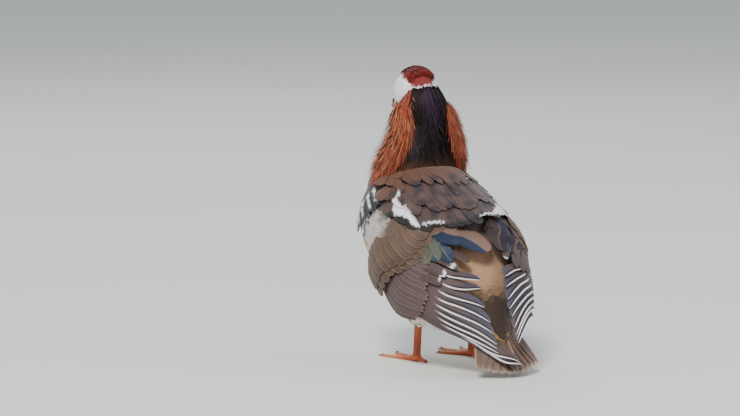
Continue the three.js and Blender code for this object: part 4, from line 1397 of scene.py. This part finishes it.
def paint_shoulder(across, share, index, spots):
    """Mauve-brown cape with dark clouds, a black lower edge and broken white patches at both sides."""
    k, angle = wing_places(spots)
    colours = MANTLE * (0.9 + 0.12 * np.sin(index * 2.7))[..., None]
    cloud = uneven(spots, 19)
    colours = over(colours, MANTLE_DARK, 0.85 * smooth(-0.2, 0.4, cloud) * smooth(3.0, 3.6, k))
    colours = over(colours, COLLAR, (1 - smooth(2.9, 4.0, k + 0.3 * cloud)) * 0.9)
    # Painted shade: each feather darker towards both its edges, where it overlaps its neighbours.
    colours = over(colours, COVERT_DARK, 0.35 * smooth(0.75, 1.0, np.abs(across)))
    edge = np.interp(angle, *CAPE_EDGE)
    colours = over(colours, BLACK, 0.9 * smooth(edge - 0.3, edge - 0.2, k))
    fine = uneven(spots, 6)
    middle = np.interp(k, WHITE_LEFT[0], WHITE_LEFT[1])
    wide = np.interp(k, WHITE_LEFT[0], WHITE_LEFT[2]) * (1 + 0.35 * fine)
    patch = (1 - smooth(wide * 0.45, wide * 0.55 + 0.3, np.abs(angle - middle))) * (wide > 0.5)
    top = np.interp(angle, [7, 12, 20, 27, 34, 42, 48, 52], [5.25, 5.1, 5.02, 4.75, 4.45, 4.2, 4.15, 4.6])
    low = np.interp(angle, [7, 20, 34, 42, 50], [5.25, 5.1, 4.95, 4.7, 4.35])
    right = between(top, low, k + 0.05 * fine, 0.05) * (low > top + 0.01)
    line = between(edge - 0.33, edge - 0.25, k, 0.04) * between(-37, -22, angle, 2)
    return over(colours, WHITE, np.maximum(np.maximum(patch, right), line))


def paint_bar(across, share, index, spots):
    """Black feathers of the breast's side with a broken white streak down the outer web."""
    colours = BLACK + 0.03 * np.abs(across)[..., None]
    fine = uneven(spots, 7)
    streak = between(-0.7, -0.3, across + 0.25 * fine, 0.14) * between(0.3, 0.85, share, 0.12)
    return over(colours, WHITE, streak)


# %% [markdown]
# Under the vanes lies the wing's own arm, a flat pad just off the body. It is a ball whose vertices are
# moved: its height runs down the wing, and its width from the wing's inner edge to its outer one.

# %% The wing's arm
PAD_ENDS = (3.9, 7.6)
PAD_OUTER = [(3.9, 84), (4.3, 92), (4.8, 106), (5.8, 109), (6.6, 106), (7.7, 100)]
PAD_INNER = [(3.9, 48), (4.4, 28), (5.2, 17), (6, 22), (6.6, 36), (7.7, 58)]
PAD_DEPTH = -6.5
PAD_THICK = 5.0


def pad_mesh(side, word):
    """The wing's arm as a closed pad."""
    shell = bmesh.new()
    verts, places = add_ball(shell, 40, 28)
    ring = np.sqrt(np.maximum(1e-9, 1 - places[:, 2] ** 2))
    k = PAD_ENDS[0] + (PAD_ENDS[1] - PAD_ENDS[0]) * (1 - places[:, 2]) / 2
    open_share = np.minimum(1, ring * 1.15)
    across = places[:, 0] / ring * open_share
    outer = np.interp(k, *np.array(PAD_OUTER).T)
    inner = np.interp(k, *np.array(PAD_INNER).T)
    angle = (outer + inner) / 2 + across * (outer - inner) / 2
    lift = np.sign(places[:, 1]) * np.sqrt(np.abs(places[:, 1] / ring))
    set_places(verts, WINGS.point(k, side * angle, PAD_DEPTH + PAD_THICK * lift * open_share))
    return bare("wing_arm_" + word, shell)

# %% [markdown]
# Rows differ in their ways, heights, widths, colours and finish, so one function lays any of them.
# Real tips never end in a perfect line: each strays a little, by seeded chance.

# %% A row of vanes
VANE_ROWS = 22


def wing_row(name, ways, side, heights, reach, paint, finish, shape="blade", tilt=0.14, bow=0.006,
             thick=0.4, quill=0.25, surface=WINGS, uneven_ends=0.05, sway=0.6):
    """One row of vanes as a piece. Tips stray by uneven_ends stations and by sway degrees."""
    rng = np.random.default_rng(len(name) + 7)
    ways = [np.array(way, float) for way in ways]
    if surface is WINGS:
        for way in ways:
            way[-1] += rng.uniform(-1, 1, 2) * (uneven_ends, sway)
    lifts = [[(s, h + (0 if i == 0 else rng.uniform(-0.12, 0.12))) for i, (s, h) in enumerate(heights)]
             for _ in ways]
    shafts, outs = lay_ways(surface, ways, side, lifts, VANE_ROWS)
    reach = np.broadcast_to(np.asarray(reach, float), (len(ways), 2))
    spread = reach[:, None] * outline(SHAPES[shape], VANE_ROWS)[None, :, None]
    patches, size = cells(len(ways))
    feathers(name, finish, shafts, outs, spread, paint, patches, side, FINE_COLUMNS, thick, tilt, bow,
             quill, size)

# %% [markdown]
# The small coverts are too many to lay by hand. They are strewn like the coat of the body, but over
# the arm, and the foremost take the grey of the flank, so that the wing has no hard edge there.

# %% Small coverts
COVERT_FRONT = [(50, 3.85), (64, 4.05), (78, 4.25), (90, 4.45), (110, 4.95)]
COVERT_SPACING = 3.4
COVERT_ROWS = 7


def small_coverts(side, word, surface):
    """Small round coverts over the front of the wing, grey like the flank at its front edge."""
    rng = np.random.default_rng(44 + side)
    k, angle = WINGS.locate(surface.middles)
    out = dot(surface.normals, WINGS.out(k, angle))[:, 0] > 0.2
    roots, normals = surface.scatter(COVERT_SPACING, out & (k < 5.2), rng)
    k, angle = WINGS.locate(roots)
    ways = unit(WINGS.point(k + 0.1, angle * 0.985, 0) - WINGS.point(k, angle, 0))
    length = 8 + 4.5 * (k - PAD_ENDS[0])
    shafts, outs = shingles(surface, roots, normals, ways, length, 3.0, rng, rows=COVERT_ROWS, stray=0.08)
    width = (length * 0.4)[:, None] * outline(SHAPES["plump"], COVERT_ROWS)
    tone = rng.uniform(0.88, 1.08, len(roots))
    front = np.interp(np.abs(angle), *np.array(COVERT_FRONT).T)
    grey = 1 - smooth(front - 0.25, front + 0.1, k)

    def paint(across, share, index, spots):
        colours = COVERT * tone[index][..., None]
        colours = over(colours, COVERT_DARK, 0.3 * between(0.55, 0.88, share, 0.2))
        colours = over(colours, EDGE_BUFF, 0.3 * smooth(0.88, 1.0, share))
        return over(colours, FLANK_GREY * 0.9, grey[index])

    feathers("small_coverts_" + word, SOFT_FINISH, shafts, outs, width, paint,
             bake_places((angle + 180) / 360, (k - 3.5) / 4), columns=[-1, -0.5, 0, 0.5, 1], bow=0.02)
    return len(roots)

# %% [markdown]
# The rows go on from the lowest to the highest: primaries first, the cape's rows last. Each starts
# deep under the row before it and ends a little above it.

# %% Both wings


def moved_back(ways, by):
    """Ways of a row moved to the rear by some stations."""
    return np.array(ways, float) + [by, 0]


def wing(side, word):
    """Arm, rows of vanes and small coverts of one wing."""
    arm = pad_mesh(side, word)
    arm_surface = Surface(arm)
    tint_mesh(arm, np.tile(COVERT_DARK, (len(arm.vertices), 1)))
    show("wing_arm_" + word, arm, DOWN_FINISH, ["wing_" + word])
    wing_row("primaries_" + word, PRIMARIES[word], side, [(0, -3), (0.4, -0.2), (1, 1)], (2, 9),
             paint_primary, VANE_FINISH, bow=0.004)
    wing_row("secondaries_" + word, SECONDARIES[word], side, [(0, -2.5), (0.6, 1.4), (1, 2)], (3, 8),
             paint_secondary, VANE_FINISH, "round")
    wing_row("long_coverts_" + word, row_between(LONG_COVERTS, 17), side,
             [(0, -3), (0.5, 0.8), (1, 1.1)], (2.5, 6.5), paint_covert(PRIMARY, EDGE_BUFF, 0.55),
             VANE_FINISH, uneven_ends=0.08)
    wing_row("middle_coverts_" + word, row_between(moved_back(ROUND_COVERTS, 0.3), 10), side,
             [(0, -3), (0.4, 0.8), (1, 1.9)], (6.5, 7.5), paint_covert(COVERT, EDGE_BUFF, 0.35, 0.4),
             VANE_FINISH, "plump", tilt=0.1, bow=0.008)
    for i, (way, reach, outer, inner) in enumerate(TERTIALS[word]):
        lift = 0.6 * i
        wing_row(f"tertial_{i}_{word}", [way], side, [(0, -5), (0.5, 0.7 + lift), (1, 1.6 + lift)], reach,
                 paint_tertial(outer, inner), BLUE_FINISH, "round", tilt=0.05, thick=0.5, quill=0.35,
                 uneven_ends=0, sway=0)
    wing_row("round_coverts_" + word, row_between(ROUND_COVERTS, 10), side,
             [(0, -3), (0.4, 1.6), (1, 2.9)], (7, 8), paint_covert(COVERT, EDGE_BUFF, 0.3, 0.5),
             VANE_FINISH, "round", tilt=0.1, bow=0.01)
    wing_row("side_bars_" + word, row_between(SIDE_BARS, 5), side, [(0, -9), (0.4, -5), (1, -3)], (8, 9),
             paint_bar, SOFT_FINISH, "plump", tilt=0.1, bow=0.01)
    for row, (ways, extra, wide) in enumerate(zip(SHOULDERS[word], (2, 4, 9), (10, 8.5, 5.5))):
        lift = 0.9 * row
        wing_row(f"shoulder_{row}_{word}", row_between(ways, len(ways) + extra), side,
                 [(0, -9), (0.5, 0.6 + lift), (1, 2.2 + lift)], (wide, wide), paint_shoulder, SOFT_FINISH,
                 "plump", tilt=0.1, bow=0.008, uneven_ends=0.12 + 0.14 * row, sway=2.5)
    return small_coverts(side, word, arm_surface)


print("small coverts:", [wing(side, word) for side, word in SIDES])

# %% [markdown]
# The tail is a fan of long feathers with paler edges, the middle one on top, and three rows of shorter
# coverts over their roots.

# %% Tail
TAIL_FAN = [-21, -17, -12.5, -8, -3.5, 21, 17, 12.5, 8, 3.5, 0]
TAIL_COVERTS = [-17, 17, -12, 12, -8, 8, -4, 4, 0]
# Rows of tail coverts: where they start and end, and how high they lie.
TAIL_COVERT_ROWS = [(22, 58, 1.6), (10, 42, 2.6), (0, 28, 3.4)]
TAIL_COVERT_REACH = (6.5, 6.5)


def paint_tail(across, share, index, spots):
    """Brown webs with paler edges and a dark shaft."""
    colours = TAIL_BROWN * (0.8 + 0.25 * share)[..., None]
    rim = np.maximum(1 - smooth(-0.95, -0.7, across), 0.6 * smooth(0.93, 1.0, share))
    colours = over(colours, TAIL_EDGE, 0.9 * rim)
    return over(colours, COVERT_DARK, 0.6 * np.exp(-((across / 0.08) ** 2)))


def tail():
    """The tail's long feathers and coverts."""
    rng = np.random.default_rng(61)
    down = np.linspace(0, 1, VANE_ROWS)
    shafts = []
    outs = []
    for turn in TAIL_FAN:
        length = TAIL_LENGTH - 0.012 * turn * turn - 2 * rng.random()
        k = np.linspace(12, length, VANE_ROWS)
        lift = (1.4 if turn == 0 else -0.5) * np.interp(down, [0, 0.5], [0.4, 1])
        shafts.append(TAIL.point(k, turn, lift))
        outs.append(TAIL.out(k, turn))
    reach = np.array([(6.5, 6.5) if turn == 0 else (5.5, 8) for turn in TAIL_FAN])
    reach = reach[:, None] * outline(SHAPES["round"], VANE_ROWS)[:, None]
    side = np.array([-1.0 if turn < 0 else 1.0 for turn in TAIL_FAN])
    patches, size = cells(len(shafts))
    feathers("tail_vanes", VANE_FINISH, np.array(shafts), np.array(outs), reach, paint_tail,
             patches, side, FINE_COLUMNS, thick=0.5, tilt=-0.15, bow=0.002, quill=0.35, patch=size,
             nodes=["tail"])
    for row, (first, last, lift) in enumerate(TAIL_COVERT_ROWS):
        ways = [[[first, turn], [(first + last) / 2, turn], [last - abs(turn) * 0.5, turn]]
                for turn in TAIL_COVERTS]
        wing_row(f"tail_coverts_{row}", ways, 1, [(0, -1.0), (0.4, lift), (1, lift + 0.4)],
                 TAIL_COVERT_REACH, paint_covert(RUMP_DARK, RUMP, 0.5), SOFT_FINISH, "plump", tilt=0,
                 bow=0.01, surface=TAIL)
    return len(shafts)


print("tail feathers:", tail())

# %% [markdown]
# The bill is small and red-pink, with a pale nail at its tip, slits for nostrils and a mouth line that
# rises a little towards the cheek. A ball is drawn out along the bill's form, cut in two along the
# mouth, and dented for the nostrils.

# %% Bill
BITE_THROUGH = np.array([0, 84.0, 246.6])
BITE_WAY = unit(np.array([0, 0.2, 1.0]))
BITE_GAP = 0.12
NOSTRIL = np.array([3.4, 92, 250.0])
NOSTRIL_DEPTH = 1.1
NAIL_MIDDLE = np.array([HEAD_MIDDLE, 107.2, 243.6])
NAIL_SIZE = np.array([2.6, 3.6, 2.0])


def horn_finish(name, light, dark, roughness):
    """Smooth horn: two tones in a soft cloud that also raises it a little."""
    finish = Finish(name, roughness)
    cloud = finish.noise(160.0, 4.0)
    return finish.done(finish.ramp(cloud, [(0.3, dark), (0.62, light)]), cloud, 0.2)


BILL_FINISH = horn_finish("bill_horn", srgb(196, 84, 84), srgb(120, 40, 48), 0.35)
NAIL_FINISH = horn_finish("pale_horn", srgb(232, 206, 190), srgb(190, 150, 130), 0.3)
CLAW_FINISH = horn_finish("dark_horn", srgb(70, 56, 50), srgb(30, 24, 24), 0.35)


def bill_half(word, upper):
    """The upper or the lower half of the bill."""
    shell = bmesh.new()
    verts, places = add_ball(shell, 48, 40)
    shaped = egg_places(BILL, places, 0.0)
    across = shaped[:, 0] - HEAD_MIDDLE
    gap = np.stack([np.abs(across), shaped[:, 1], shaped[:, 2]], axis=1) - NOSTRIL
    dent = np.exp(-((gap[:, 1] / 2.2) ** 2) - (gap[:, 2] / 0.9) ** 2) * (np.abs(gap[:, 0]) < 3)
    shaped[:, 0] -= np.sign(across) * dent * NOSTRIL_DEPTH
    set_places(verts, turned(shaped))
    way = Vector(turned_way(BITE_WAY))
    through_place = Vector(packed(turned(BITE_THROUGH))) + way * (BITE_GAP * MM * (1 if upper else -1))
    cut = bmesh.ops.bisect_plane(shell, geom=shell.verts[:] + shell.edges[:] + shell.faces[:], dist=1e-7,
                                 plane_co=through_place, plane_no=way, clear_inner=upper,
                                 clear_outer=not upper)
    rim = [e for e in cut["geom_cut"] if isinstance(e, bmesh.types.BMEdge)]
    bmesh.ops.edgeloop_fill(shell, edges=rim)
    name = word + "_bill"
    show(name, bare(name, shell, soft=True), BILL_FINISH, ["bill_" + word])


def nail():
    """The pale nail at the bill's tip."""
    shell = bmesh.new()
    verts, places = add_ball(shell, 24, 16)
    set_places(verts, turned(NAIL_MIDDLE + places * NAIL_SIZE))
    show("bill_nail", bare("bill_nail", shell, soft=True), NAIL_FINISH)


bill_half("upper", True)
bill_half("lower", False)
nail()
print("bill length, mm:", np.ptp(BILL.rows[:, 1]))

# %% [markdown]
# Each eye is a ball set deep in the head, dark brown with a black pupil under a clear glossy front. Two
# lids hold it, made as one: rings drawn out from a circle, following the ball, with a rounded edge.

# %% Eyes and lids
PUPIL = 30.0
IRIS = 52.0
EYE_DARK = (0.004, 0.003, 0.003)
PUPIL_BLACK = (0.002, 0.002, 0.002)
LID_RISES = [0.05, 0.35, 0.6, 0.8, 0.6]
LID_THICK = 0.25
LID_FINISH = horn_finish("lid_skin", srgb(222, 206, 194), srgb(168, 148, 138), 0.7)

# %% [markdown]
# The colour of an eye depends only on the angle from the way it looks: a black pupil, a brown iris,
# and dark skin round it. A dot product gives that angle without any map.

# %% Eye finish


def eye_out(side):
    """The way an eye looks: out to its side and a little forward."""
    return unit(np.array([side * 1.0, 0.28, 0.06]))


def eye_finish(side, word):
    """Pupil, iris and dark surround by the angle from the eye's axis."""
    finish = Finish("eye_" + word, 0.12, {"Coat Weight": 0.5, "Coat Roughness": 0.02})
    middle = packed(turned(EYE_PLACES[side]))
    gap = finish.add("VectorMath", {0: finish.place(), 1: middle}, operation="SUBTRACT").outputs[0]
    straight = finish.add("VectorMath", {0: gap}, operation="NORMALIZE").outputs[0]
    axis = turned_way(eye_out(side))
    near = finish.add("VectorMath", {0: straight, 1: axis}, operation="DOT_PRODUCT").outputs["Value"]
    iris = math.cos(math.radians(IRIS))
    pupil = math.cos(math.radians(PUPIL))
    return finish.done(finish.ramp(near, [(iris - 0.03, EYE_DARK), (iris + 0.03, srgb(62, 36, 22)),
                                          (pupil - 0.015, srgb(74, 42, 26)), (pupil + 0.01, PUPIL_BLACK)]))

# %% [markdown]
# The lids are drawn out from a ring of corners at the opening, ring after ring over the ball, and
# given a thickness.

# %% Lids and eyeballs


def ring_places(side, turn, step):
    """Places round one ring of the lids, step 0 being the one at the opening."""
    axis = eye_out(side)
    forward = unit(np.array([0, 1.0, 0]) - axis * axis[1])
    up = -side * np.cross(axis, forward)
    opening = np.radians(48 + 10 * np.abs(np.cos(turn)) + 36 * step / (len(LID_RISES) - 1))
    off = forward * np.cos(turn)[:, None] + up * (np.sin(turn) * 0.9)[:, None]
    ball = axis * np.cos(opening)[:, None] + off * np.sin(opening)[:, None]
    return turned(EYE_PLACES[side] + (EYE_RADIUS + LID_RISES[step]) * ball)


def lids(side, word):
    """Both lids as one ring of skin about the ball."""
    shell = bmesh.new()
    ring = bmesh.ops.create_circle(shell, cap_ends=False, segments=36, radius=1)["verts"]
    turn = np.array([math.atan2(v.co.y, v.co.x) for v in ring])
    set_places(ring, ring_places(side, turn, 0))
    edges = shell.edges[:]
    for step in range(1, len(LID_RISES)):
        drawn = bmesh.ops.extrude_edge_only(shell, edges=edges)["geom"]
        edges = [e for e in drawn if isinstance(e, bmesh.types.BMEdge)]
        set_places([v for v in drawn if isinstance(v, bmesh.types.BMVert)], ring_places(side, turn, step))
    bmesh.ops.recalc_face_normals(shell, faces=shell.faces)
    bmesh.ops.solidify(shell, geom=shell.faces[:], thickness=LID_THICK * MM)
    show("lids_" + word, bare("lids_" + word, shell, soft=True), LID_FINISH)


def eye(side, word):
    """The eyeball."""
    shell = bmesh.new()
    verts, places = add_ball(shell, 40, 28)
    set_places(verts, turned(EYE_PLACES[side] + places * EYE_RADIUS))
    name = "eyeball_" + word
    show(name, bare(name, shell, soft=True), eye_finish(side, word), ["eye_" + word])


for side, word in SIDES:
    eye(side, word)
    lids(side, word)
print("eyes, mm across:", 2 * EYE_RADIUS)

# %% [markdown]
# The legs are short and orange, the feet webbed. Toes, knuckles, heel and web overlap as simple shapes,
# and a fine voxel remesh joins them into one skin. Scutes are a cell pattern in the material, the dark
# web is coloured by where it is, and each claw is a bent cone of its own.

# %% Legs and feet
LEG_ACROSS = 32
LEG_ALONG = -12
LEG_TOP = 64
LEG_FOOT = 4.5
LEG_RADIUS = 3.8
KNOB_HEIGHT = 6.5
KNOB_SIZE = [4.3, 4.6, 4.6]
ANKLE_SIZE = [5.2, 6.0, 3.9]
HIND_TOE = [3, -14, -2.4]
TOES = [(-32, 38), (-7, 51), (18, 48)]
TOE_JOINTS = {38: (0.42, 0.75), 51: (0.32, 0.58, 0.8), 48: (0.28, 0.48, 0.66, 0.84)}
CLAW_SPAN = (0.93, 1.06)
CLAW_HEIGHTS = (1.9, 0.55)
LEG_ORANGE = srgb(206, 112, 66)
LEG_DARK = srgb(150, 70, 44)
TOE_PALE = srgb(222, 156, 112)
WEB_DARK = srgb(82, 48, 44)
FOOT_VOXEL = 0.0006
SOLE_HEIGHT = 0.00005
TOE_THICK = 2.9
TOE_THINNING = 1.3


def leg_finish(name):
    """Scaled skin: cells with dark seams over the tint."""
    finish = Finish(name, 0.45)
    scutes = finish.add("TexVoronoi", {"Vector": finish.place(), "Scale": 620.0}, feature="DISTANCE_TO_EDGE")
    seam = finish.maths("MULTIPLY", scutes.outputs["Distance"], 5.0)
    level = finish.maths("MINIMUM", finish.maths("ADD", seam, 0.6), 1.0)
    return finish.done(finish.shaded(finish.tint(), level), level, 0.6)


LEG_FINISH = leg_finish("leg_skin")

# %% [markdown]
# A shank is a tapered rod with a knob above the foot. Rods with round ends overlap well, which the
# remesh needs.

# %% Shanks


def rod(shell, start, end, radius_start, radius_end, around=20):
    """A tapered rod with round ends in the shell."""
    start = np.array(start, float)
    end = np.array(end, float)
    way = unit(end - start)
    side = unit(np.cross(way, [0.3, 0.2, 1.0]))
    up = np.cross(side, way)
    verts, places = add_ball(shell, around, 18)
    share = (places[:, 2] + 1) / 2
    radius = radius_start + (radius_end - radius_start) * share
    reach = np.linalg.norm(end - start)
    along_rod = np.where(places[:, 2] > 0, reach, 0) + places[:, 2] * radius
    set_places(verts, start + way * along_rod[:, None] + side * (places[:, 0] * radius)[:, None]
               + up * (places[:, 1] * radius)[:, None])


def leg(side, word):
    """The shank with its knob above the foot."""
    shell = bmesh.new()
    low = (side * LEG_ACROSS, LEG_ALONG, LEG_FOOT)
    high = (side * (LEG_ACROSS - 1), LEG_ALONG - 4, LEG_TOP)
    rod(shell, low, high, LEG_RADIUS - 0.4, LEG_RADIUS + 0.5, 32)
    verts, places = add_ball(shell, 28, 20)
    set_places(verts, np.array([side * LEG_ACROSS, LEG_ALONG, KNOB_HEIGHT]) + places * KNOB_SIZE)
    mesh = as_one_surface("shank_" + word, bare("shank_" + word, shell), FOOT_VOXEL, 4)
    heights = Surface(mesh).places[:, 2]
    tint_mesh(mesh, over(LEG_ORANGE, LEG_DARK, smooth(40, 10, heights) * 0.5))
    show("shank_" + word, mesh, LEG_FINISH, ["leg_" + word])

# %% [markdown]
# A toe is a chain of rods with a knuckle at each joint, flat on the floor. Between the toes a grid
# bends to make the web, with a few folds. The colour runs from the toes to the dark web.

# %% Feet


def toe_place(side, turn, length, share):
    """A place on the floor under a toe."""
    angle = math.radians(turn)
    return np.array([side * (LEG_ACROSS + math.sin(angle) * length * share),
                     LEG_ALONG + math.cos(angle) * length * share, 0])


def web_sheet(shell, side, first, second):
    """The web between two toes, a grid bent between them."""
    made = bmesh.ops.create_grid(shell, x_segments=14, y_segments=14, size=0.5)
    flat = np.array([v.co for v in made["verts"]]) + 0.5
    across, down = flat[:, 0], flat[:, 1]
    sag = 1 - 0.22 * np.sin(np.pi * across)
    near = np.array([toe_place(side, *first, 0.9 * d * s) for d, s in zip(down, sag)])
    far = np.array([toe_place(side, *second, 0.9 * d * s) for d, s in zip(down, sag)])
    places = near * (1 - across)[:, None] + far * across[:, None]
    places[:, 2] = 0.55 + 0.35 * np.sin(np.pi * across) * down + 0.2 * np.sin(down * 26)
    set_places(made["verts"], places)
    sheet = [f for f in shell.faces if all(v in set(made["verts"]) for v in f.verts)]
    bmesh.ops.solidify(shell, geom=sheet, thickness=0.9 * MM)


def foot(side, word):
    """Toes, knuckles, web and heel as one skin, with claws."""
    shell = bmesh.new()
    ankle = np.array([side * LEG_ACROSS, LEG_ALONG, 4.0])
    for turn, length in TOES:
        joints = (0.0, *TOE_JOINTS[length], 0.97)
        for start, end in zip(joints, joints[1:]):
            low = toe_place(side, turn, length, start)
            high = toe_place(side, turn, length, end)
            thick = [TOE_THICK - TOE_THINNING * s for s in (start, end)]
            low[2], high[2] = (t * 0.78 + 1.6 * max(0, 0.2 - s) * 5 for t, s in zip(thick, (start, end)))
            rod(shell, low, high, thick[0] * 0.86, thick[1] * 0.86)
            if start > 0:
                verts, places = add_ball(shell, 16, 12)
                set_places(verts, low + places * thick[0] * [1.12, 1.12, 0.95])
    rod(shell, ankle, ankle + np.array([-side, 1, 1]) * HIND_TOE, 2.4, 1.4)
    verts, places = add_ball(shell, 24, 18)
    set_places(verts, ankle + places * ANKLE_SIZE)
    for first, second in zip(TOES, TOES[1:]):
        web_sheet(shell, side, first, second)
    mesh = as_one_surface("webbed_foot_" + word, bare("webbed_foot_" + word, shell), FOOT_VOXEL, 3)
    for vert in mesh.vertices:
        vert.co.z = max(vert.co.z, SOLE_HEIGHT)
    places = Surface(mesh).places
    on_toe = np.zeros(len(places))
    for turn, length in TOES:
        way = unit(toe_place(side, turn, length, 1.0) - toe_place(side, turn, length, 0.0))
        gap = places - toe_place(side, turn, length, 0.0)
        off = np.linalg.norm(np.cross(gap * [1, 1, 0], way), axis=1)
        on_toe = np.maximum(on_toe, 1 - smooth(2.0, 3.4, off))
    on_toe = np.maximum(on_toe, 1 - smooth(6, 9, np.linalg.norm(places[:, :2] - ankle[:2], axis=1)))
    ahead = smooth(LEG_ALONG, LEG_ALONG + 40, places[:, 1])
    tint_mesh(mesh, over(WEB_DARK, over(LEG_ORANGE, TOE_PALE, ahead), on_toe))
    show("webbed_foot_" + word, mesh, LEG_FINISH, ["foot_" + word])

# %% [markdown]
# A claw is a small cone that starts inside the toe's tip and bends down to the floor.

# %% Claws


def claws(side, word):
    """A bent cone at the end of each toe."""
    shell = bmesh.new()
    for turn, length in TOES:
        made = bmesh.ops.create_cone(shell, cap_ends=True, segments=14, radius1=1.5, radius2=0.25, depth=1)
        places = np.array([v.co for v in made["verts"]])
        share = places[:, 2] + 0.5
        start, end = (toe_place(side, turn, length, at) for at in CLAW_SPAN)
        way = unit(end - start)
        across = np.cross(way, [0, 0, 1.0])
        height = CLAW_HEIGHTS[0] * (1 - share) + CLAW_HEIGHTS[1] * share
        spot = start * (1 - share)[:, None] + end * share[:, None]
        spot = spot + across * places[:, :1]
        spot[:, 2] = np.maximum(height + places[:, 1], 0.1)
        set_places(made["verts"], spot)
    bmesh.ops.subdivide_edges(shell, edges=shell.edges[:], cuts=1, use_grid_fill=True)
    show("claws_" + word, bare("claws_" + word, shell), CLAW_FINISH)


for side, word in SIDES:
    leg(side, word)
    foot(side, word)
    claws(side, word)
print("toes, mm:", [length for _, length in TOES])

# %% [markdown]
# The stage is a plain pale floor, with one large soft key light from the left behind the camera, a
# wide fill from the right and a pale sky all round.

# %% Floor and lights
FLOOR_SIZE = 12.0
FLOOR_TONE = srgb(236, 236, 232)
AIM_HEIGHT = 0.15
SKY_COLOUR = (0.86, 0.92, 1.0, 1)
SKY_STRENGTH = 0.62
# Each light's name, place, size in metres, power in watts and colour.
LIGHTS = [("key", (-1.8, -1.8, 2.8), 1.0, 135, (1.0, 0.97, 0.93)),
          ("fill", (2.2, -1.4, 1.6), 2.0, 22, (0.92, 0.96, 1.0)),
          ("back", (0.6, 2.4, 2.4), 1.6, 30, (1.0, 1.0, 1.0))]


def make_floor():
    """A pale matt floor with a faint grain."""
    shell = bmesh.new()
    bmesh.ops.create_grid(shell, x_segments=4, y_segments=4, size=FLOOR_SIZE / 2)
    mesh = bpy.data.meshes.new("floor")
    shell.to_mesh(mesh)
    shell.free()
    floor = bpy.data.objects.new("floor", mesh)
    bpy.context.scene.collection.objects.link(floor)
    finish = Finish("floor", 0.9)
    tones = finish.ramp(finish.noise(3.0), [(0.0, FLOOR_TONE * 0.94), (1.0, FLOOR_TONE)])
    mesh.materials.append(finish.done(tones))


def make_light(name, place, size, power, colour):
    """A square soft light that looks at the bird."""
    light = bpy.data.lights.new(name, "AREA")
    light.size = size
    light.energy = power
    light.color = colour
    lamp = bpy.data.objects.new(name, light)
    lamp.location = place
    lamp.rotation_euler = (Vector(place) - Vector((0, 0, AIM_HEIGHT))).to_track_quat("Z", "Y").to_euler()
    bpy.context.scene.collection.objects.link(lamp)


def make_sky():
    """An even pale sky."""
    world = bpy.data.worlds.new("sky")
    world.use_nodes = True
    background = world.node_tree.nodes["Background"]
    background.inputs["Color"].default_value = SKY_COLOUR
    background.inputs["Strength"].default_value = SKY_STRENGTH
    bpy.context.scene.world = world


make_floor()
make_sky()
for light in LIGHTS:
    make_light(*light)
print("lights:", [light[0] for light in LIGHTS])
